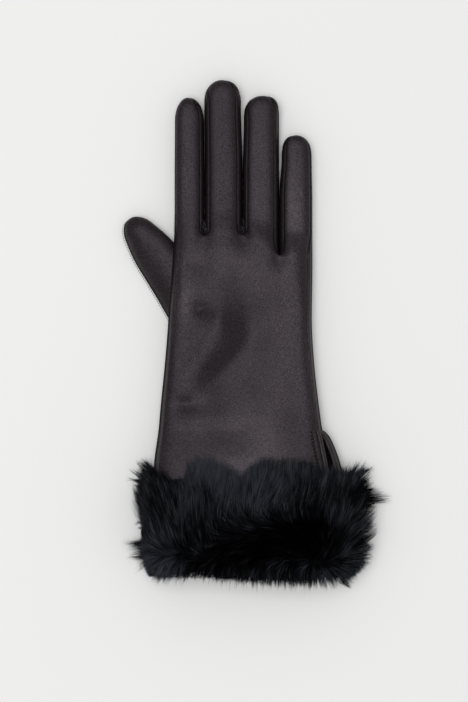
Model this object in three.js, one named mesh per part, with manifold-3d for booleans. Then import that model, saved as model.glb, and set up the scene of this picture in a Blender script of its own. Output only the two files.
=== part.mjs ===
// A right-hand leather dress glove with a deep fur cuff, lying on its palm with the back of the hand up.
// Millimetres. X runs across the hand to the little finger, Y along it to the fingertips, Z up from the floor.
// The leather is one hollow hand surface: four finger tubes that run into a palm tube. It is divided along
// the seams into the real panels, and each panel gets its thickness inwards. The thumb, the binding of the
// wrist vent and the fur cuff are solids of their own.
import * as THREE from "three";
import { mergeVertices } from "three/addons/utils/BufferGeometryUtils.js";
import Module from "manifold-3d";

const wasm = await Module();
wasm.setup();

// Driving dimensions
const LEATHER = 1.3; // wall: nappa leather with its backing
const SEAM_GAP = 0.36; // between two panels of leather along a seam
const PIECE_GAP = 0.36; // between any other two pieces
const SEAM_MITRE = 2.2; // most that a fold may thicken the wall
const FLOOR_PRESS = 0.8; // how far the rounded underside is pressed flat where it rests
const HEM_Y = -136; // wrist end of the leather
const VENT_Y = -56.3; // top of the slit in the outer side of the wrist
const CROTCH_BLEND = 10; // length over which a finger grows out of the palm
const CROTCH_DIP = 2.6; // depth of the valley between two knuckles
const DIP_LENGTH = 18; // how far that valley runs down the hand
const DIP_WIDTH = 4.5;
const BEND_FROM = 10; // above this the rows across the hand bend to meet the crotches
const HAND_SQUARENESS = 3; // exponent of the hand's rounded cross-section
const FINGER_SQUARENESS = 2.5;
const WIDEST_LEVEL = 0.42; // widest level of a section, as a share of its height
const FOLD_ANGLE = 32; // degrees above the widest level where the index side's fold turns over
const OUTER_SEAM_ANGLE = 21; // the same for the seam on the little finger's side
const SIDE_SEAM_ANGLE = 48; // the same for the seams between a finger and its side walls
const SIDE_WALL_TIP_ANGLE = 14; // where the two seams of a side wall nearly meet at the fingertip

const { lerp, clamp, smoothstep, degToRad: radians } = THREE.MathUtils;
const vec = (x, y, z) => new THREE.Vector3(x, y, z);

// The hand and wrist by section: silhouette edges, underside and top
const HAND = [
  { y: -136, left: -60, right: 47.5, bottom: 5, top: 26 },
  { y: -106, left: -60, right: 46.5, bottom: 5, top: 26 },
  { y: -80, left: -58, right: 44.5, bottom: 4, top: 25 },
  { y: -56, left: -55.1, right: 39.9, bottom: 1.5, top: 22.5 },
  { y: -42, left: -53.9, right: 38, bottom: 0, top: 21 },
  { y: -19, left: -51.6, right: 35.4, bottom: 0, top: 20 },
  { y: 9, left: -49.3, right: 33.9, bottom: 0, top: 19.5 },
  { y: 41, left: -47, right: 34.3, bottom: 0, top: 18 },
  { y: 59, left: -45.9, right: 34.3, bottom: 0, top: 16.5 },
];

// Where two fingers part: the place of the crotch, and where the same line meets the hem
const GAPS = [
  { name: "index_middle", x: -28.5, y: 58.6, hemX: -33 },
  { name: "middle_ring", x: -6.3, y: 58.2, hemX: -6 },
  { name: "ring_little", x: 15.1, y: 44.8, hemX: 21 },
];

// The fingers: silhouette edges near the crotch and at the start of the rounded end, the tip's height in Y,
// the length of the rounded end, the apex, and the thickness
const FINGERS = [
  { left: -45.9, right: -29.1, tipLeft: -45.7, tipRight: -29.1, tipY: 136.8, round: 14, apexX: -37.6, top: 14.5 },
  { left: -27.9, right: -6.9, tipLeft: -28.4, tipRight: -7.4, tipY: 146.2, round: 12.5, apexX: -18, top: 15 },
  { left: -5.7, right: 14.6, tipLeft: -5.1, tipRight: 14.9, tipY: 137, round: 12, apexX: 5.2, top: 14.6 },
  { left: 15.7, right: 34.3, tipLeft: 17.1, tipRight: 33.9, tipY: 113.8, round: 12, apexX: 24.3, top: 13.6 },
];

// The thumb by section, from its tip: distance along it, half width, underside and top
const THUMB_TIP = vec(-73, 66, 0);
const THUMB_ROOT = vec(-24.5, 2.5, 0);
const THUMB = [
  { along: 2.4, half: 5.4, bottom: 3.2, top: 8.6 },
  { along: 6, half: 8.2, bottom: 1.1, top: 10.2 },
  { along: 12, half: 10.2, bottom: 0, top: 11 },
  { along: 23, half: 12.2, bottom: 0, top: 11.2 },
  { along: 36, half: 13.2, bottom: 0, top: 10.6 },
  { along: 48, half: 14.2, bottom: 0, top: 10.4 },
  { along: 58, half: 15.4, bottom: 0.4, top: 11 },
  { along: 68, half: 16.2, bottom: 3.2, top: 12.4 },
  { along: 79, half: 16.2, bottom: 8.4, top: 14 },
];
const THUMB_SIDES = 14;
const THUMB_SQUARENESS = 2.3;
// How high the palm rides over the thumb that lies under it, and where that ends along and beside the thumb
const THUMB_LIFT = { height: 5.2, alongFrom: 66, alongTo: 88, besideFrom: 12, besideTo: 23 };

// Dents in the back of the hand: centre, length and width of the hollow, the way it runs, and depth
const DENTS = [
  { x: -13, y: -12, length: 26, width: 8, heading: 54, depth: 2.8 },
  { x: -30, y: 12.5, length: 7, width: 6, heading: 0, depth: 1.2 },
  { x: -39.5, y: -41, length: 8, width: 7, heading: 20, depth: 1.6 },
  { x: -25, y: -58, length: 16, width: 5, heading: 0, depth: 1.4 },
];

// The slit of the vent: how far its palm edge stands out and drops from its back edge, at the mouth and
// again towards the hem
const VENT_MOUTH = { x: 3.2, z: 4.6, length: 1.6 };
const VENT_FLARE = { x: 5.6, z: 2.2, length: 14 };
// The binding's section: half its width, half its thickness, its corners, how far its middle stands off the
// leather's own, and the way that the leather faces there
const BINDING = { halfWidth: 1.3, halfThickness: 1, chamfer: 0.45, proud: 0.45, facing: vec(0.86, 0, 0.5) };

// The fur: depth of the pile by section of the cuff
const PILE = [
  { y: -141, depth: 3 },
  { y: -137, depth: 7.4 },
  { y: -128, depth: 10 },
  { y: -116, depth: 11 },
  { y: -104, depth: 10.6 },
  { y: -94, depth: 8.4 },
  { y: -87, depth: 5 },
  { y: -82, depth: 2.4 },
];
const FUR_LOCKS = 28; // ridges of the pile round the cuff
const LOCK_RELIEF = 0.13; // how far a ridge stands out and a furrow sinks, as a share of the pile
const PILE_JITTER = 0.1; // random part of the pile's depth
const LOCK_TIPS = { up: 10, down: 3.6, least: 0.35, thinning: 0.45 }; // reach past the cuff's edges, and depth
const FUR_CLEAR = 0.9; // the pelt stands this far off the leather, beyond the gap
const FUR_LEAST = 0.9; // thinnest pile
const FUR_END = { from: -0.8, to: 2.4 }; // columns over which the pile swells at the C's two ends
// How far the back end of the fur laps over the vent, in how many columns, its way and the way it faces
const FUR_LAP = { reach: 7, columns: 3, way: vec(0.97, 0, -0.2), facing: vec(0.25, 0, 0.97) };
// A tuft's rings: share of the way to its tip and width as a share of its thickness; how much it arches
const TUFT_RINGS = [
  { share: -0.3, width: 0.8 },
  { share: 0.3, width: 0.9 },
  { share: 0.7, width: 0.5 },
];
const TUFT_ARCH = 0.1;
const TUFT_FLATNESS = 0.67;
// Single tufts that stand off the cuff: root, tip, and thickness at the root
const TUFTS = [
  { from: vec(58, -91, 9), to: vec(70, -83, 12), thick: 6 },
  { from: vec(61, -99, 9), to: vec(75, -97.6, 11), thick: 7 },
  { from: vec(61, -112, 10), to: vec(71.5, -112, 13), thick: 6.5 },
  { from: vec(60, -122, 9), to: vec(69.5, -122, 8), thick: 6 },
  { from: vec(58, -133, 9), to: vec(66.5, -136.5, 8), thick: 6 },
  { from: vec(-60, -92, 18), to: vec(-69.3, -86.5, 17), thick: 5.5 },
  { from: vec(-62, -99, 13), to: vec(-69.5, -92.5, 11), thick: 5 },
  { from: vec(-62, -112, 19), to: vec(-70, -109, 19), thick: 5.5 },
  { from: vec(-62, -121, 14), to: vec(-73, -124.5, 12), thick: 5.5 },
  { from: vec(-60, -130, 19), to: vec(-69.5, -135, 18), thick: 5.5 },
  { from: vec(-38, -96, 34), to: vec(-36, -84, 38.5), thick: 6 },
  { from: vec(-20, -102, 35), to: vec(-16, -90, 40), thick: 6.5 },
  { from: vec(3, -98, 35), to: vec(5, -85, 39.5), thick: 6.5 },
  { from: vec(24, -100, 34.5), to: vec(29, -88, 39), thick: 6 },
  { from: vec(-30, -118, 35.5), to: vec(-41, -117, 40), thick: 6.5 },
  { from: vec(-4, -117, 36), to: vec(-14, -121, 41), thick: 7 },
  { from: vec(18, -118, 36), to: vec(10, -125, 40.5), thick: 6.5 },
  { from: vec(38, -114, 33), to: vec(46, -110, 37.5), thick: 6 },
];

// Fineness of the faceted surfaces
const TOP_STEPS = 4; // across one finger's strip of leather
const SIDE_STEPS = 3; // round a finger's side
const HAND_ROWS = [
  -136, -118, -98, -80, -69, -62, -58.6, -57, VENT_Y, -50, -42, -34, -26, -17, -8, 1, 10, 19, 28, 37, 45, 52, 58.4,
];
const FINGER_ROWS = [0, 0.05, 0.11, 0.2, 0.42, 0.7, 1]; // shares of a finger's straight part
const TIP_ANGLES = [24, 44, 62, 78]; // degrees round the fingertip, before the apex
const SIDE_WALL_END = 44; // the side walls stop at this one

// The value of a table's column at a place on its scale, straight between its rows
function column(table, name, at, scale = "y") {
  const next = table.findIndex((row) => row[scale] >= at);
  if (next === 0) return table[0][name];
  if (next < 0) return table.at(-1)[name];
  const [low, high] = [table[next - 1], table[next]];
  return lerp(low[name], high[name], (at - low[scale]) / (high[scale] - low[scale]));
}
const handAt = (name, y) => column(HAND, name, y);
const shares = (steps) => Array.from({ length: steps + 1 }, (_, i) => i / steps);

// Cosine and sine of a rounded square: a circle at exponent 2, squarer above it
const squared = (value, squareness) => Math.sign(value) * Math.abs(value) ** (2 / squareness);
const roundCos = (angle, squareness) => squared(Math.cos(angle), squareness);
const roundSin = (angle, squareness) => squared(Math.sin(angle), squareness);

// The hand's surface

const thumbAxis = THUMB_ROOT.clone().sub(THUMB_TIP).normalize();
const thumbAcross = vec(thumbAxis.y, -thumbAxis.x, 0);

function thumbLift(x, y) {
  const fromTip = vec(x, y, 0).sub(THUMB_TIP);
  const { height, alongFrom, alongTo, besideFrom, besideTo } = THUMB_LIFT;
  const end = 1 - smoothstep(fromTip.dot(thumbAxis), alongFrom, alongTo);
  return height * end * (1 - smoothstep(Math.abs(fromTip.dot(thumbAcross)), besideFrom, besideTo));
}

function dentDepth(x, y) {
  return DENTS.reduce((sum, dent) => {
    const turn = radians(dent.heading);
    const along = (x - dent.x) * Math.cos(turn) + (y - dent.y) * Math.sin(turn);
    const across = (y - dent.y) * Math.cos(turn) - (x - dent.x) * Math.sin(turn);
    return sum + dent.depth * Math.exp(-((along / dent.length) ** 2) - (across / dent.width) ** 2);
  }, 0);
}

// The valleys that run down the hand from each crotch
function knuckleDip(x, y) {
  return GAPS.reduce((sum, gap) => {
    const fade = smoothstep(y, gap.y - DIP_LENGTH, gap.y);
    return sum + CROTCH_DIP * fade ** 2 * Math.exp(-(((x - gap.x) / DIP_WIDTH) ** 2));
  }, 0);
}

// Share of a section's full height that its rounded outline has at x
function crown(x, y) {
  const [left, right] = [handAt("left", y), handAt("right", y)];
  const share = Math.min(1, Math.abs((2 * x - left - right) / (right - left)));
  return (1 - share ** HAND_SQUARENESS) ** (1 / HAND_SQUARENESS);
}
const handLevel = (y) => lerp(handAt("bottom", y), handAt("top", y), WIDEST_LEVEL);
const handTop = (x, y) =>
  handLevel(y) + (handAt("top", y) - handLevel(y) - dentDepth(x, y)) * crown(x, y) - knuckleDip(x, y);
function handBottom(x, y) {
  const floor = handAt("bottom", y);
  const drop = (handLevel(y) - floor + FLOOR_PRESS) * crown(x, y);
  return Math.max(floor, handLevel(y) - drop) + thumbLift(x, y) + 0.6 * knuckleDip(x, y);
}

// Lines along the hand between its four strips of leather: 0 at the index side, 4 at the little finger's
function stripEdge(line, y) {
  const half = (handAt("right", y) - handAt("left", y)) / 2;
  const inset = (angle) => half * (1 - roundCos(radians(angle), HAND_SQUARENESS));
  if (line === 0) return handAt("left", y) + inset(FOLD_ANGLE);
  if (line > GAPS.length) return handAt("right", y) - inset(OUTER_SEAM_ANGLE);
  const gap = GAPS[line - 1];
  return lerp(gap.x, gap.hemX, clamp((gap.y - y) / (gap.y - HEM_Y), 0, 1) ** 1.3);
}

// The y that a row across the hand has at such a line
function bentY(y, line) {
  if (y <= BEND_FROM) return y;
  const crotch = GAPS[clamp(line - 1, 0, GAPS.length - 1)].y;
  return lerp(BEND_FROM, crotch, (y - BEND_FROM) / (HAND_ROWS.at(-1) - BEND_FROM));
}

// How far the vent's palm edge is from its back edge
function ventOpening(y) {
  const below = Math.max(0, VENT_Y - y);
  const mouth = 1 - Math.exp(-below / VENT_MOUTH.length);
  const flare = 1 - Math.exp(-below / VENT_FLARE.length);
  return vec(VENT_MOUTH.x * mouth + VENT_FLARE.x * flare, 0, -VENT_MOUTH.z * mouth - VENT_FLARE.z * flare);
}

// A point of finger f's strip in a row across the hand, share 0 to 1 from its index side
function stripPoint(f, share, y, heightOf) {
  const rowY = lerp(bentY(y, f), bentY(y, f + 1), share);
  let across = share;
  if (f === 0) across = 1 - Math.sin(((1 - share) * Math.PI) / 2);
  if (f === FINGERS.length - 1) across = Math.sin((share * Math.PI) / 2);
  const x = lerp(stripEdge(f, rowY), stripEdge(f + 1, rowY), across);
  const opened = heightOf === handBottom ? ventOpening(rowY).x * smoothstep(x, 0, stripEdge(4, rowY)) : 0;
  return vec(x + opened, rowY, heightOf(x, rowY));
}

// A side wall that bulges out to the silhouette between a top edge and a bottom edge, share 0 to 1 down it
function bulge(top, bottom, silhouette, share, angle) {
  const turn = lerp(radians(angle), -radians(angle), share);
  const edge = roundCos(radians(angle), HAND_SQUARENESS);
  const out = (roundCos(turn, HAND_SQUARENESS) - edge) / (1 - edge);
  const reach = (top.z - bottom.z) / 2 / roundSin(radians(angle), HAND_SQUARENESS);
  const base = top.clone().lerp(bottom, share);
  return vec(lerp(base.x, silhouette, out), base.y, (top.z + bottom.z) / 2 + reach * roundSin(turn, HAND_SQUARENESS));
}

// One ring of the hand in named runs: over the back, down the outer side, under the palm, up the index side
function handRing(y) {
  const strips = (heightOf, ends) =>
    FINGERS.map((_, f) => shares(TOP_STEPS).map((s) => stripPoint(f, ends ? 1 - s : s, y, heightOf)));
  const tops = strips(handTop, false);
  const bottoms = strips(handBottom, true);
  const seam = tops.at(-1).at(-1);
  const opening = ventOpening(seam.y);
  const palmEdge = seam.clone().add(opening);
  const outer = handAt("right", seam.y) + opening.x;
  const right = shares(SIDE_STEPS).map((s) => bulge(palmEdge, bottoms.at(-1)[0], outer, s, OUTER_SEAM_ANGLE));
  const inner = handAt("left", tops[0][0].y);
  const left = shares(SIDE_STEPS).map((s) => bulge(tops[0][0], bottoms[0].at(-1), inner, 1 - s, FOLD_ANGLE));
  return { tops, right, bottoms, left };
}

// A finger's ring at y as it is on the free finger, in the same four runs
function freeFingerRing(f, y) {
  const finger = FINGERS[f];
  const straightEnd = finger.tipY - finger.round;
  const into = clamp((y - straightEnd) / finger.round, 0, 1);
  const size = Math.sqrt(1 - into ** 2);
  const along = clamp((y - GAPS[0].y) / (straightEnd - GAPS[0].y), 0, 1);
  const [left, right] = [lerp(finger.left, finger.tipLeft, along), lerp(finger.right, finger.tipRight, along)];
  const middle = lerp((left + right) / 2, finger.apexX, into ** 2);
  const level = finger.top * WIDEST_LEVEL;
  const [up, down] = [(finger.top - level) * size, (level + FLOOR_PRESS) * size];
  const at = (angle) => {
    const rise = roundSin(angle, FINGER_SQUARENESS);
    const x = middle + ((right - left) / 2) * size * roundCos(angle, FINGER_SQUARENESS);
    return vec(x, y, Math.max(0, level + rise * (rise > 0 ? up : down)));
  };
  const narrowing = clamp(into / Math.sin(radians(SIDE_WALL_END)), 0, 1) ** 2;
  const seam = lerp(SIDE_SEAM_ANGLE, SIDE_WALL_TIP_ANGLE, narrowing);
  const toRight = radians(f === FINGERS.length - 1 ? OUTER_SEAM_ANGLE : seam);
  const toLeft = radians(f === 0 ? FOLD_ANGLE : seam);
  const run = (from, to, steps) => shares(steps).map((s) => at(lerp(from, to, s)));
  return {
    top: run(Math.PI - toLeft, toRight, TOP_STEPS),
    right: run(toRight, -toRight, SIDE_STEPS),
    bottom: run(-toRight, toLeft - Math.PI, TOP_STEPS),
    left: run(toLeft - Math.PI, -Math.PI - toLeft, SIDE_STEPS),
  };
}

// A finger's ring at a share of its straight part, growing out of the hand's last ring
function fingerRing(f, share, knuckles) {
  const web = (line) => {
    const [top, bottom] = [knuckles.tops[line - 1].at(-1), knuckles.bottoms[line - 1][0]];
    return shares(SIDE_STEPS).map((s) => top.clone().lerp(bottom, s));
  };
  const base = {
    top: knuckles.tops[f],
    right: f < GAPS.length ? web(f + 1) : knuckles.right,
    bottom: knuckles.bottoms[f],
    left: f > 0 ? web(f).reverse() : knuckles.left,
  };
  const straightEnd = FINGERS[f].tipY - FINGERS[f].round;
  const grow = ([run, points]) => [
    run,
    points.map((start, i) => {
      const y = lerp(start.y, straightEnd, share);
      const grown = Math.sin((clamp((y - start.y) / CROTCH_BLEND, 0, 1) * Math.PI) / 2);
      return start.clone().setY(y).lerp(freeFingerRing(f, y)[run][i], grown);
    }),
  ];
  return Object.fromEntries(Object.entries(base).map(grow));
}

// Meshes as points and named sets of faces

class Skin {
  points = [];
  panels = {};
  byPlace = new Map();

  index(p) {
    const key = p.toArray().map((v) => Math.round(v * 1000)).join();
    if (!this.byPlace.has(key)) this.byPlace.set(key, this.points.push(p.clone()) - 1);
    return this.byPlace.get(key);
  }

  face(panel, corners) {
    this.panels[panel] ??= [];
    if (new Set(corners).size === 3) this.panels[panel].push(corners);
  }

  // Faces between two rows of points; they face the side from which near runs to the right below far
  weave(near, far, panel) {
    for (let i = 0; i + 1 < near.length; i++) {
      const [a, b, c, d] = [near[i], near[i + 1], far[i + 1], far[i]].map((p) => this.index(p));
      this.face(panel, [a, b, c]);
      this.face(panel, [a, c, d]);
    }
  }

  allFaces() {
    return Object.values(this.panels).flat();
  }

  // For each point, the mean way out of the faces round it, lengthened so that a wall keeps its thickness
  outwards() {
    const sums = this.points.map(() => vec(0, 0, 0));
    const around = this.points.map(() => []);
    for (const face of this.allFaces()) {
      const corners = face.map((i) => this.points[i]);
      const normal = new THREE.Triangle(...corners).getNormal(vec(0, 0, 0));
      face.forEach((i, k) => {
        const toNext = corners[(k + 1) % 3].clone().sub(corners[k]);
        const angle = toNext.angleTo(corners[(k + 2) % 3].clone().sub(corners[k]));
        sums[i].addScaledVector(normal, angle);
        around[i].push({ normal, angle });
      });
    }
    return sums.map((sum, i) => {
      const way = sum.normalize();
      const angles = around[i].reduce((total, { angle }) => total + angle, 0);
      const facing = around[i].reduce((total, { normal, angle }) => total + angle * way.dot(normal), 0);
      return way.clone().multiplyScalar(Math.min(SEAM_MITRE, angles / facing));
    });
  }
}

function solidFrom(points, faces) {
  const vertProperties = new Float32Array(points.flatMap((p) => p.toArray()));
  return new wasm.Manifold(new wasm.Mesh({ numProp: 3, vertProperties, triVerts: new Uint32Array(faces.flat()) }));
}

// The directed edges of some faces that have no partner among them, each with the way into its face
function openEdges(points, faces) {
  const edges = new Map();
  for (const face of faces) {
    const normal = new THREE.Triangle(...face.map((i) => points[i])).getNormal(vec(0, 0, 0));
    face.forEach((from, k) => {
      const to = face[(k + 1) % 3];
      const inward = points[to].clone().sub(points[from]).normalize().cross(normal).negate();
      if (!edges.delete(`${to},${from}`)) edges.set(`${from},${to}`, { from, to, inward });
    });
  }
  return edges;
}

// A panel of the skin as a solid wall, drawn back by half a seam's gap where it is sewn to another panel
function panelWall(skin, panel) {
  const outwards = skin.outwards();
  const faces = skin.panels[panel];
  const rim = [...openEdges(skin.points, faces).values()];
  const others = new Set();
  for (const [name, its] of Object.entries(skin.panels)) {
    if (name !== panel) its.forEach((face) => face.forEach((i, k) => others.add(`${i},${face[(k + 1) % 3]}`)));
  }
  const drawn = new Map();
  for (const { from, to, inward } of rim) {
    if (!others.has(`${to},${from}`)) continue;
    [from, to].forEach((i) => drawn.set(i, [...(drawn.get(i) ?? []), inward]));
  }
  const used = [...new Set(faces.flat())];
  const place = new Map(used.map((i, n) => [i, n]));
  const outer = used.map((i) => {
    const ways = drawn.get(i) ?? [vec(0, 0, 0)];
    const mean = ways.reduce((total, way) => total.add(way), vec(0, 0, 0)).divideScalar(ways.length);
    const back = SEAM_GAP / 2 / Math.max(1 / SEAM_MITRE, mean.length());
    return skin.points[i].clone().addScaledVector(mean.normalize(), back);
  });
  const inner = used.map((i, n) => outer[n].clone().addScaledVector(outwards[i], -LEATHER));
  const lift = used.length;
  const at = (i) => place.get(i);
  const walls = rim.flatMap(({ from, to }) => {
    const [a, b, c, d] = [at(to), at(from), at(from) + lift, at(to) + lift];
    return from < to ? [[a, b, c], [a, c, d]] : [[a, b, d], [b, c, d]];
  });
  const outside = faces.map((face) => face.map(at));
  const inside = faces.map(([a, b, c]) => [at(c) + lift, at(b) + lift, at(a) + lift]);
  return solidFrom([...outer, ...inner], [...outside, ...inside, ...walls]);
}

// A skin filled in: its open rims are closed with fans, and it is grown outwards
function filled(skin, grow) {
  const outwards = skin.outwards();
  const points = skin.points.map((p, i) => p.clone().addScaledVector(outwards[i], grow));
  const faces = [...skin.allFaces()];
  const rim = [...openEdges(skin.points, faces).values()];
  while (rim.length) {
    const loop = [rim.pop()];
    for (let next = 0; next >= 0; ) {
      next = rim.findIndex((edge) => edge.from === loop.at(-1).to);
      if (next >= 0) loop.push(...rim.splice(next, 1));
    }
    const middle = loop.reduce((sum, edge) => sum.add(points[edge.from]), vec(0, 0, 0)).divideScalar(loop.length);
    const centre = points.push(middle) - 1;
    loop.forEach((edge) => faces.push([edge.to, edge.from, centre]));
  }
  return solidFrom(points, faces);
}

// The hand's skin, whose panels are the trank (back and palm in one) and three folded side walls

const sideWall = (line) => `fourchette_${GAPS[line - 1].name}`;
const rings = HAND_ROWS.map(handRing);

function weaveHand(skin, withFingers) {
  for (let r = 0; r + 1 < rings.length; r++) {
    for (const run of ["tops", "bottoms"]) {
      FINGERS.forEach((_, f) => skin.weave(rings[r][run][f], rings[r + 1][run][f], "trank"));
    }
    for (const run of ["right", "left"]) skin.weave(rings[r][run], rings[r + 1][run], "trank");
    if (!withFingers) {
      const slit = ({ tops, right }) => [tops.at(-1).at(-1), right[0]];
      skin.weave(slit(rings[r]), slit(rings[r + 1]), "trank");
    }
  }
  return skin;
}

function weaveFinger(skin, f) {
  const finger = FINGERS[f];
  const tips = TIP_ANGLES.map((angle) => finger.tipY - finger.round * (1 - Math.sin(radians(angle))));
  const rows = [
    ...FINGER_ROWS.map((share) => fingerRing(f, share, rings.at(-1))),
    ...tips.map((y) => freeFingerRing(f, y)),
  ];
  const wallRows = FINGER_ROWS.length + TIP_ANGLES.indexOf(SIDE_WALL_END);
  const apex = vec(finger.apexX, finger.tipY, finger.top * WIDEST_LEVEL);
  rows.forEach((row, r) => {
    for (const run of ["top", "right", "bottom", "left"]) {
      const line = { right: f + 1, left: f }[run];
      const isWall = line >= 1 && line <= GAPS.length && r < wallRows;
      const next = rows[r + 1]?.[run] ?? row[run].map(() => apex);
      skin.weave(row[run], next, isWall ? sideWall(line) : "trank");
    }
  });
}

const glove = weaveHand(new Skin(), true);
FINGERS.forEach((_, f) => weaveFinger(glove, f));
const handBody = filled(weaveHand(new Skin(), false), PIECE_GAP);

// The thumb: a tube whose root runs into the palm

function thumbRing({ along, half, bottom, top }) {
  const centre = THUMB_TIP.clone().addScaledVector(thumbAxis, along);
  const level = lerp(bottom, top, WIDEST_LEVEL);
  return shares(THUMB_SIDES).map((s) => {
    const angle = Math.PI * (1 - 2 * s);
    const rise = roundSin(angle, THUMB_SQUARENESS);
    const z = level + rise * (rise > 0 ? top - level : level - bottom + FLOOR_PRESS);
    const p = centre.clone().addScaledVector(thumbAcross, -half * roundCos(angle, THUMB_SQUARENESS));
    return p.setZ(Math.max(bottom, z));
  });
}

function thumbSkin() {
  const skin = new Skin();
  const sections = THUMB.map(thumbRing);
  const apex = THUMB_TIP.clone().setZ(lerp(THUMB[0].bottom, THUMB[0].top, WIDEST_LEVEL));
  skin.weave(sections[0], sections[0].map(() => apex), "thumb");
  for (let r = 0; r + 1 < sections.length; r++) skin.weave(sections[r + 1], sections[r], "thumb");
  return skin;
}

// The binding: a strip of leather folded over both edges of the vent

function ventBinding(grow) {
  const ventRows = rings.filter((ring) => ring.tops.at(-1).at(-1).y <= VENT_Y).reverse();
  const backEdge = ventRows.map((ring) => ring.tops.at(-1).at(-1));
  const palmEdge = ventRows.map((ring) => ring.right[0]);
  const path = [...backEdge.slice(1).reverse(), backEdge[0], ...palmEdge.slice(1)];
  const skin = new Skin();
  const { halfWidth, halfThickness, chamfer, proud, facing } = BINDING;
  const [w, t] = [halfWidth + grow, halfThickness + grow];
  const outline = [[-w, t - chamfer], [-w + chamfer, t], [w - chamfer, t], [w, t - chamfer]];
  const section = [...outline, ...outline.map(([x, z]) => [-x, -z])];
  const sections = path.map((p, i) => {
    const [before, after] = [path[Math.max(0, i - 1)], path[Math.min(path.length - 1, i + 1)]];
    const along = after.clone().sub(before).normalize();
    const side = along.clone().cross(facing).normalize();
    const up = side.clone().cross(along);
    const end = i === 0 ? -grow : i === path.length - 1 ? grow : 0;
    const centre = p.clone().addScaledVector(up, proud - LEATHER / 2).addScaledVector(along, end);
    const ring = section.map(([x, z]) => centre.clone().addScaledVector(side, x).addScaledVector(up, z));
    return [...ring, ring[0]];
  });
  for (let i = 0; i + 1 < sections.length; i++) skin.weave(sections[i], sections[i + 1], "binding");
  return filled(skin, 0);
}

// The fur cuff: a C of pelt round the wrist whose pile stands in ridges, with locks past both its edges

const scatter = (i, seed) => {
  const wave = Math.sin(i * 12.9898 + seed * 78.233) * 43758.5453;
  return wave - Math.floor(wave);
};

// Points at equal steps along the wrist's outline, from the vent's palm edge under the hand to its back edge
function wristOutline(y, steps) {
  const { right, bottoms, left, tops } = handRing(y);
  const runs = [right, ...[...bottoms].reverse(), left, ...tops].flat();
  const corners = runs.filter((p, i) => i === 0 || p.distanceTo(runs[i - 1]) > 0.01);
  const path = new THREE.CurvePath();
  corners.slice(1).forEach((p, i) => path.add(new THREE.LineCurve3(corners[i], p)));
  return shares(steps).map((s) => {
    const out = path.getTangentAt(clamp(s, 0.01, 0.99)).cross(vec(0, 1, 0)).normalize();
    return { p: path.getPointAt(s), out };
  });
}

function furCuff() {
  const columns = 2 * FUR_LOCKS;
  const last = PILE.length - 1;
  const sections = PILE.map(({ y, depth }, r) => {
    const outline = wristOutline(y, columns);
    const points = outline.map(({ p, out }, i) => {
      const ridge = i % 2 === 1;
      const reach = ridge ? lerp(LOCK_TIPS.least, 1, scatter(i, 1)) : 0;
      const past = r === last ? LOCK_TIPS.up * reach : r === 0 ? -LOCK_TIPS.down * reach : 0;
      const relief = 1 + (ridge ? LOCK_RELIEF : -LOCK_RELIEF) + PILE_JITTER * (scatter(i, r + 2) - 0.5);
      const swell = smoothstep(Math.min(i, columns - i), FUR_END.from, FUR_END.to);
      const pile = depth * swell * relief * (past === 0 ? 1 : LOCK_TIPS.thinning);
      const lap = smoothstep(i, columns - FUR_LAP.columns, columns);
      out.lerp(FUR_LAP.facing, lap).normalize();
      p.addScaledVector(FUR_LAP.way, FUR_LAP.reach * lap);
      const inner = p.clone().addScaledVector(out, PIECE_GAP + FUR_CLEAR).setY(y + past);
      const outer = inner.clone().addScaledVector(out, Math.max(FUR_LEAST, pile));
      outer.z = Math.max(0, outer.z);
      inner.z = Math.max(FUR_LEAST, inner.z);
      return { inner, outer };
    });
    return { outer: points.map((q) => q.outer), inner: points.map((q) => q.inner) };
  });
  const skin = new Skin();
  for (let r = 0; r < last; r++) {
    skin.weave(sections[r].outer, sections[r + 1].outer, "fur");
    skin.weave(sections[r + 1].inner, sections[r].inner, "fur");
  }
  skin.weave(sections[last].outer, sections[last].inner, "fur");
  skin.weave(sections[0].inner, sections[0].outer, "fur");
  skin.weave(sections.map((s) => s.outer[0]), sections.map((s) => s.inner[0]), "fur");
  skin.weave(sections.map((s) => s.inner.at(-1)), sections.map((s) => s.outer.at(-1)), "fur");
  return filled(skin, 0);
}

// A tuft: a bent four-sided point
function tuft({ from, to, thick }) {
  const along = to.clone().sub(from);
  const side = along.clone().cross(vec(0, 0, 1)).normalize();
  const up = side.clone().cross(along).normalize();
  const corners = [[1, 0], [0, -1], [-1, 0], [0, 1], [1, 0]];
  const sections = TUFT_RINGS.map(({ share, width }) => {
    const arch = TUFT_ARCH * thick * Math.sin(share * Math.PI);
    const centre = from.clone().addScaledVector(along, share).addScaledVector(up, arch);
    const [wide, high] = [(width * thick) / 2, (width * thick * TUFT_FLATNESS) / 2];
    return corners.map(([x, z]) => centre.clone().addScaledVector(side, x * wide).addScaledVector(up, z * high));
  });
  sections.push(sections[0].map(() => to));
  const skin = new Skin();
  for (let r = 0; r + 1 < sections.length; r++) skin.weave(sections[r], sections[r + 1], "tuft");
  return filled(skin, 0);
}

// Solids to named meshes with their materials

const leather = { color: 0x4a4447, roughness: 0.48, metalness: 0 };
const bindingLeather = { color: 0x38312f, roughness: 0.5, metalness: 0 };
const fur = { color: 0x1b1f26, roughness: 0.8, metalness: 0 };

const group = new THREE.Group();
function add(name, solid, material) {
  const largest = solid.decompose().reduce((most, one) => (one.volume() > most.volume() ? one : most));
  const { vertProperties, triVerts } = largest.getMesh();
  const geometry = new THREE.BufferGeometry();
  geometry.setAttribute("position", new THREE.BufferAttribute(vertProperties, 3));
  geometry.setIndex(new THREE.BufferAttribute(triVerts, 1));
  const mesh = new THREE.Mesh(mergeVertices(geometry), new THREE.MeshStandardMaterial(material));
  mesh.name = name;
  group.add(mesh);
}

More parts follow.
